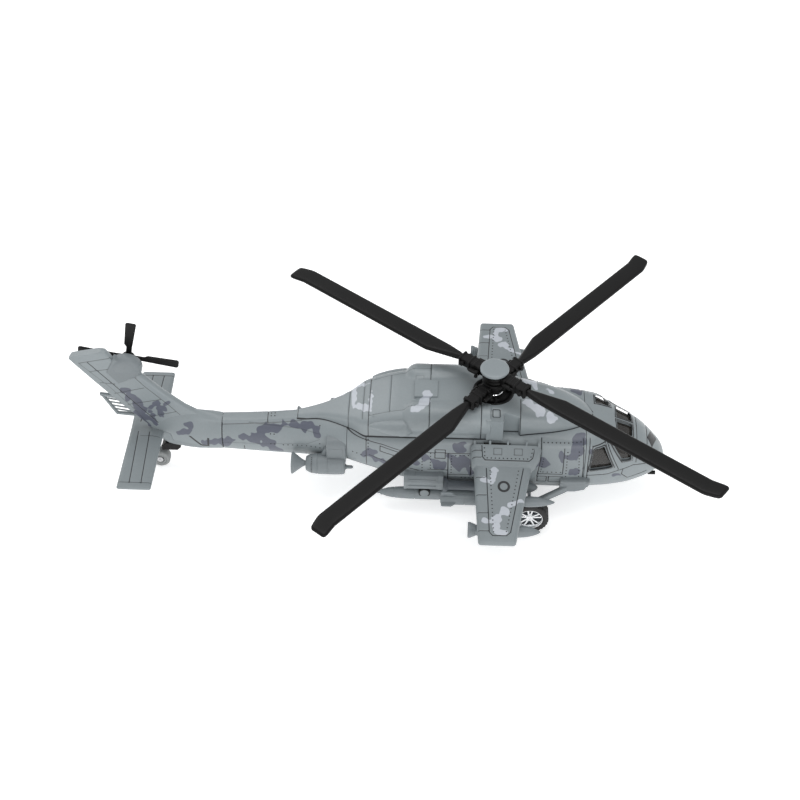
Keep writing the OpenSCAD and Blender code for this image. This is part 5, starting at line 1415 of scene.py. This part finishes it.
TAIL_WHEEL = (-164.5, 0, 5.0)
TAIL_TREAD = [(0.9, -2.2), (1.9, -2.2), (2.1, -2.6), (2.4, -2.95), (2.9, -3.0), (3.0, -2.8), (3.3, -2.8),
              (3.4, -2.98), (4.2, -2.95), (4.8, -2.5), (4.98, -2.1), (4.98, 1.1), (4.85, 1.5), (4.2, 1.95),
              (2.4, 1.95), (2.0, 1.4), (0.9, 1.4)]
lathe("tail_wheel_tread", TAIL_TREAD, TAIL_WHEEL, (0, 1, 0), "tail_wheel", "tail_wheel", "tail_wheel",
      wheel_grey, 56, closed=True)
lathe("tail_wheel_pin_head", [(0, -3.2), (0.45, -3.2), (0.58, -3.05), (0.58, 3.05), (0.45, 3.2), (0, 3.2)],
      TAIL_WHEEL, (0, 1, 0), "airframe", "tail_wheel_pin", "steel", steel, 24)
lathe("tail_wheel_stop", [(0.62, -3.0), (1.5, -3.0), (1.7, -2.75), (1.7, -2.35), (0.62, -2.35)], TAIL_WHEEL,
      (0, 1, 0), "airframe", "tail_bracket", "rotor", steel, 28, closed=True)
BRACKET = ("airframe", "tail_bracket", "rotor", black)
crown = [(-162.9, 11.3), (-155.2, 11.3), (-153.4, 13.2), (-153.4, 16.2), (-160.7, 16.2), (-162.9, 14.0)]
cheek = [(-166.0, 5.4), (-165.2, 3.7), (-163.6, 3.7), (-162.9, 5.0), (-155.6, 11.5), (-155.6, 13.9),
         (-162.3, 13.9)]
extrusion("tail_bracket_crown", crown, 1, -2.2, 3.1, *BRACKET, 0.3)
extrusion("tail_bracket_cheek", cheek, 1, 2.35, 3.15, *BRACKET, 0.2)

# ---------------------------------------------------------------- tail rotor

CANT = math.radians(6)
TAIL = Vector((-175, 0, 64.3))
ACROSS = Vector((0, math.cos(CANT), math.sin(CANT)))
DOWN = Vector((0, math.sin(CANT), -math.cos(CANT)))
lathe("tail_gearbox_drum", [(0, -2.4), (4.4, -2.4), (5.6, -2.25), (6.4, -1.9), (7.0, -1.3), (7.35, -0.6),
                            (7.5, 0.2), (7.5, 2.4), (7.2, 2.9), (0, 2.9)], TAIL, ACROSS, "airframe",
      "tail_gearbox", "body", plain_grey, 64)
extrusion("tail_gearbox_pad", [(-180.2, 71.6), (-184.4, 62.8), (-179.4, 55.6), (-168.6, 61.6), (-170, 66)],
          1, -2.3, 1.9, "airframe", "tail_gearbox", "body", plain_grey, 0.45)
lathe("tail_rotor_pin", [(0, 0), (0.88, 0), (0.88, 8.5), (1.5, 8.6), (1.5, 9.1), (1.2, 9.4), (0, 9.4)],
      TAIL, ACROSS, "airframe", "tail_rotor_axle", "steel", steel, 28)
hub = TAIL + ACROSS * 7
lathe("tail_rotor_hub", [(1.2, -1.4), (2.6, -1.4), (3.0, -1.0), (3.0, 1.0), (2.6, 1.4), (1.2, 1.4)], hub,
      ACROSS, "tail_rotor", "tail_rotor", "rotor", black, 40, closed=True)


def tail_point(r, t, angle):
    c, s = math.cos(angle), math.sin(angle)
    return hub + Vector((1, 0, 0)) * (r * c - t * s) + DOWN * (r * s + t * c)


# radius, rear edge, front edge, thickness
TAIL_BLADE = ((1.6, -1.5, 1.4, 1.3), (7.4, -1.4, 1.35, 1.15), (9.2, -2.6, 1.5, 1.05), (14, -2.66, 1.8, 1.0),
              (24.15, -2.8, 2.3, 0.9))
for k in range(4):
    a = math.radians(11 + 90 * k)
    stations = [(tail_point(r, lo, a), tail_point(r, hi, a), t, ACROSS) for r, lo, hi, t in TAIL_BLADE]
    skin = Skin(slab(stations, 0.7, 0.9, 0.9, tip=1.2), 0.7)
    skin.build(f"tail_rotor_blade_{k}", "tail_rotor", "tail_rotor", "rotor", black, smooth=50)

# ---------------------------------------------------------------- sound button

plate = Skin(slab([((-37.45, -5.95, 54.62), (-37.45, 5.95, 54.62), 5.16, (0, 0, 1)),
                   ((-26.55, -5.95, 54.62), (-26.55, 5.95, 54.62), 5.16, (0, 0, 1))], 0.4, 0.14, 0.14,
                  tip=0.0), 0.4)
plate.paint("light", BUTTON_PATCHES, slant(plate, STARBOARD), plate.p[..., 2] > 55, 5.0, 0.5, 0.5)
plate.build("push_button_plate", "button", "push_button", "body", paint, smooth=38)
extrusion("push_button_flange", [(-38.4, -6.9), (-25.6, -6.9), (-25.6, 6.9), (-38.4, 6.9)], 2, 52.05, 52.75,
          "button", "push_button", "body", plastic, 0.1)

# ---------------------------------------------------------------- camera, lights, floor

scene = bpy.context.scene
cam_data = bpy.data.cameras.new("camera")
cam_data.lens = 71.37
cam_data.sensor_width = 36
cam = bpy.data.objects.new("camera", cam_data)
scene.collection.objects.link(cam)
cam.location = Vector((28.5, -548.3, 576.7)) * 0.001
cam.rotation_euler = (math.radians(90 - 43.9), 0, math.radians(2.506))
scene.camera = cam
scene.view_settings.view_transform = "Standard"

floor_me = bpy.data.meshes.new("floor")
floor_me.from_pydata([(-6, -6, 0), (6, -6, 0), (6, 6, 0), (-6, 6, 0)], [], [(0, 1, 2, 3)])
floor = bpy.data.objects.new("floor", floor_me)
scene.collection.objects.link(floor)
floor.location.z = -0.0002
floor_mat, fnt, fb = new_material("studio_floor")
floor_tint = mix_colour(fnt, ramp(fnt, noise_tex(fnt, 3, 2), 0.3, 0.7), (0.9, 0.9, 0.9), (0.93, 0.93, 0.93))
link(fnt, floor_tint, fb.inputs["Base Color"])
fb.inputs["Roughness"].default_value = 0.9
fb.inputs["Emission Color"].default_value = (1, 1, 1, 1)
fb.inputs["Emission Strength"].default_value = 0.5
floor_me.materials.append(floor_mat)


def area_light(name, at, aim, size, watts):
    data = bpy.data.lights.new(name, "AREA")
    data.shape = "RECTANGLE"
    data.size, data.size_y = size
    data.energy = watts
    ob = bpy.data.objects.new(name, data)
    scene.collection.objects.link(ob)
    ob.location = at
    ob.rotation_euler = (Vector(aim) - Vector(at)).to_track_quat("-Z", "Y").to_euler()


area_light("overhead", (0.0, 0.15, 1.1), (0, 0, 0.03), (1.1, 0.55), 4.8)
area_light("front_fill", (0.35, -1.3, 0.55), (0, 0, 0.04), (1.0, 0.6), 5.6)
area_light("rim", (-0.7, 0.8, 0.7), (0, 0, 0.04), (0.7, 0.5), 2.4)
world = bpy.data.worlds.new("studio")
scene.world = world
world.use_nodes = True
world.node_tree.nodes["Background"].inputs["Color"].default_value = (0.98, 0.99, 1.0, 1)
world.node_tree.nodes["Background"].inputs["Strength"].default_value = 0.62

# ---------------------------------------------------------------- CAD nodes that keep their shape

LOOKS = {
    "cockpit_interior": interior, "belly_plate": dark_grey, "battery_cover": dark_grey, "chin_lights": black,
    "rotor_mast": steel, "pins_lower": black, "pins_upper": black, "main_axle": steel, "axle_gear": acetal,
    "reduction_gear": acetal, "winding_gear": acetal, "mainspring": steel, "motor_housing": motor_blue,
    "motor_cover": motor_blue, "circuit_board": mask_green, "button_cells": steel, "battery_contacts": brass,
    "speaker": interior, "cockpit_led": led_clear, "body_screws": steel,
}
for node, mat in LOOKS.items():
    ob = NODES[node]
    ob.data.materials.clear()
    ob.data.materials.append(mat)

# ---------------------------------------------------------------- rivets

for body, (verts, faces) in RIVETS.items():
    mesh_object("rivets_" + body, verts, faces, body, None, ink, 60)
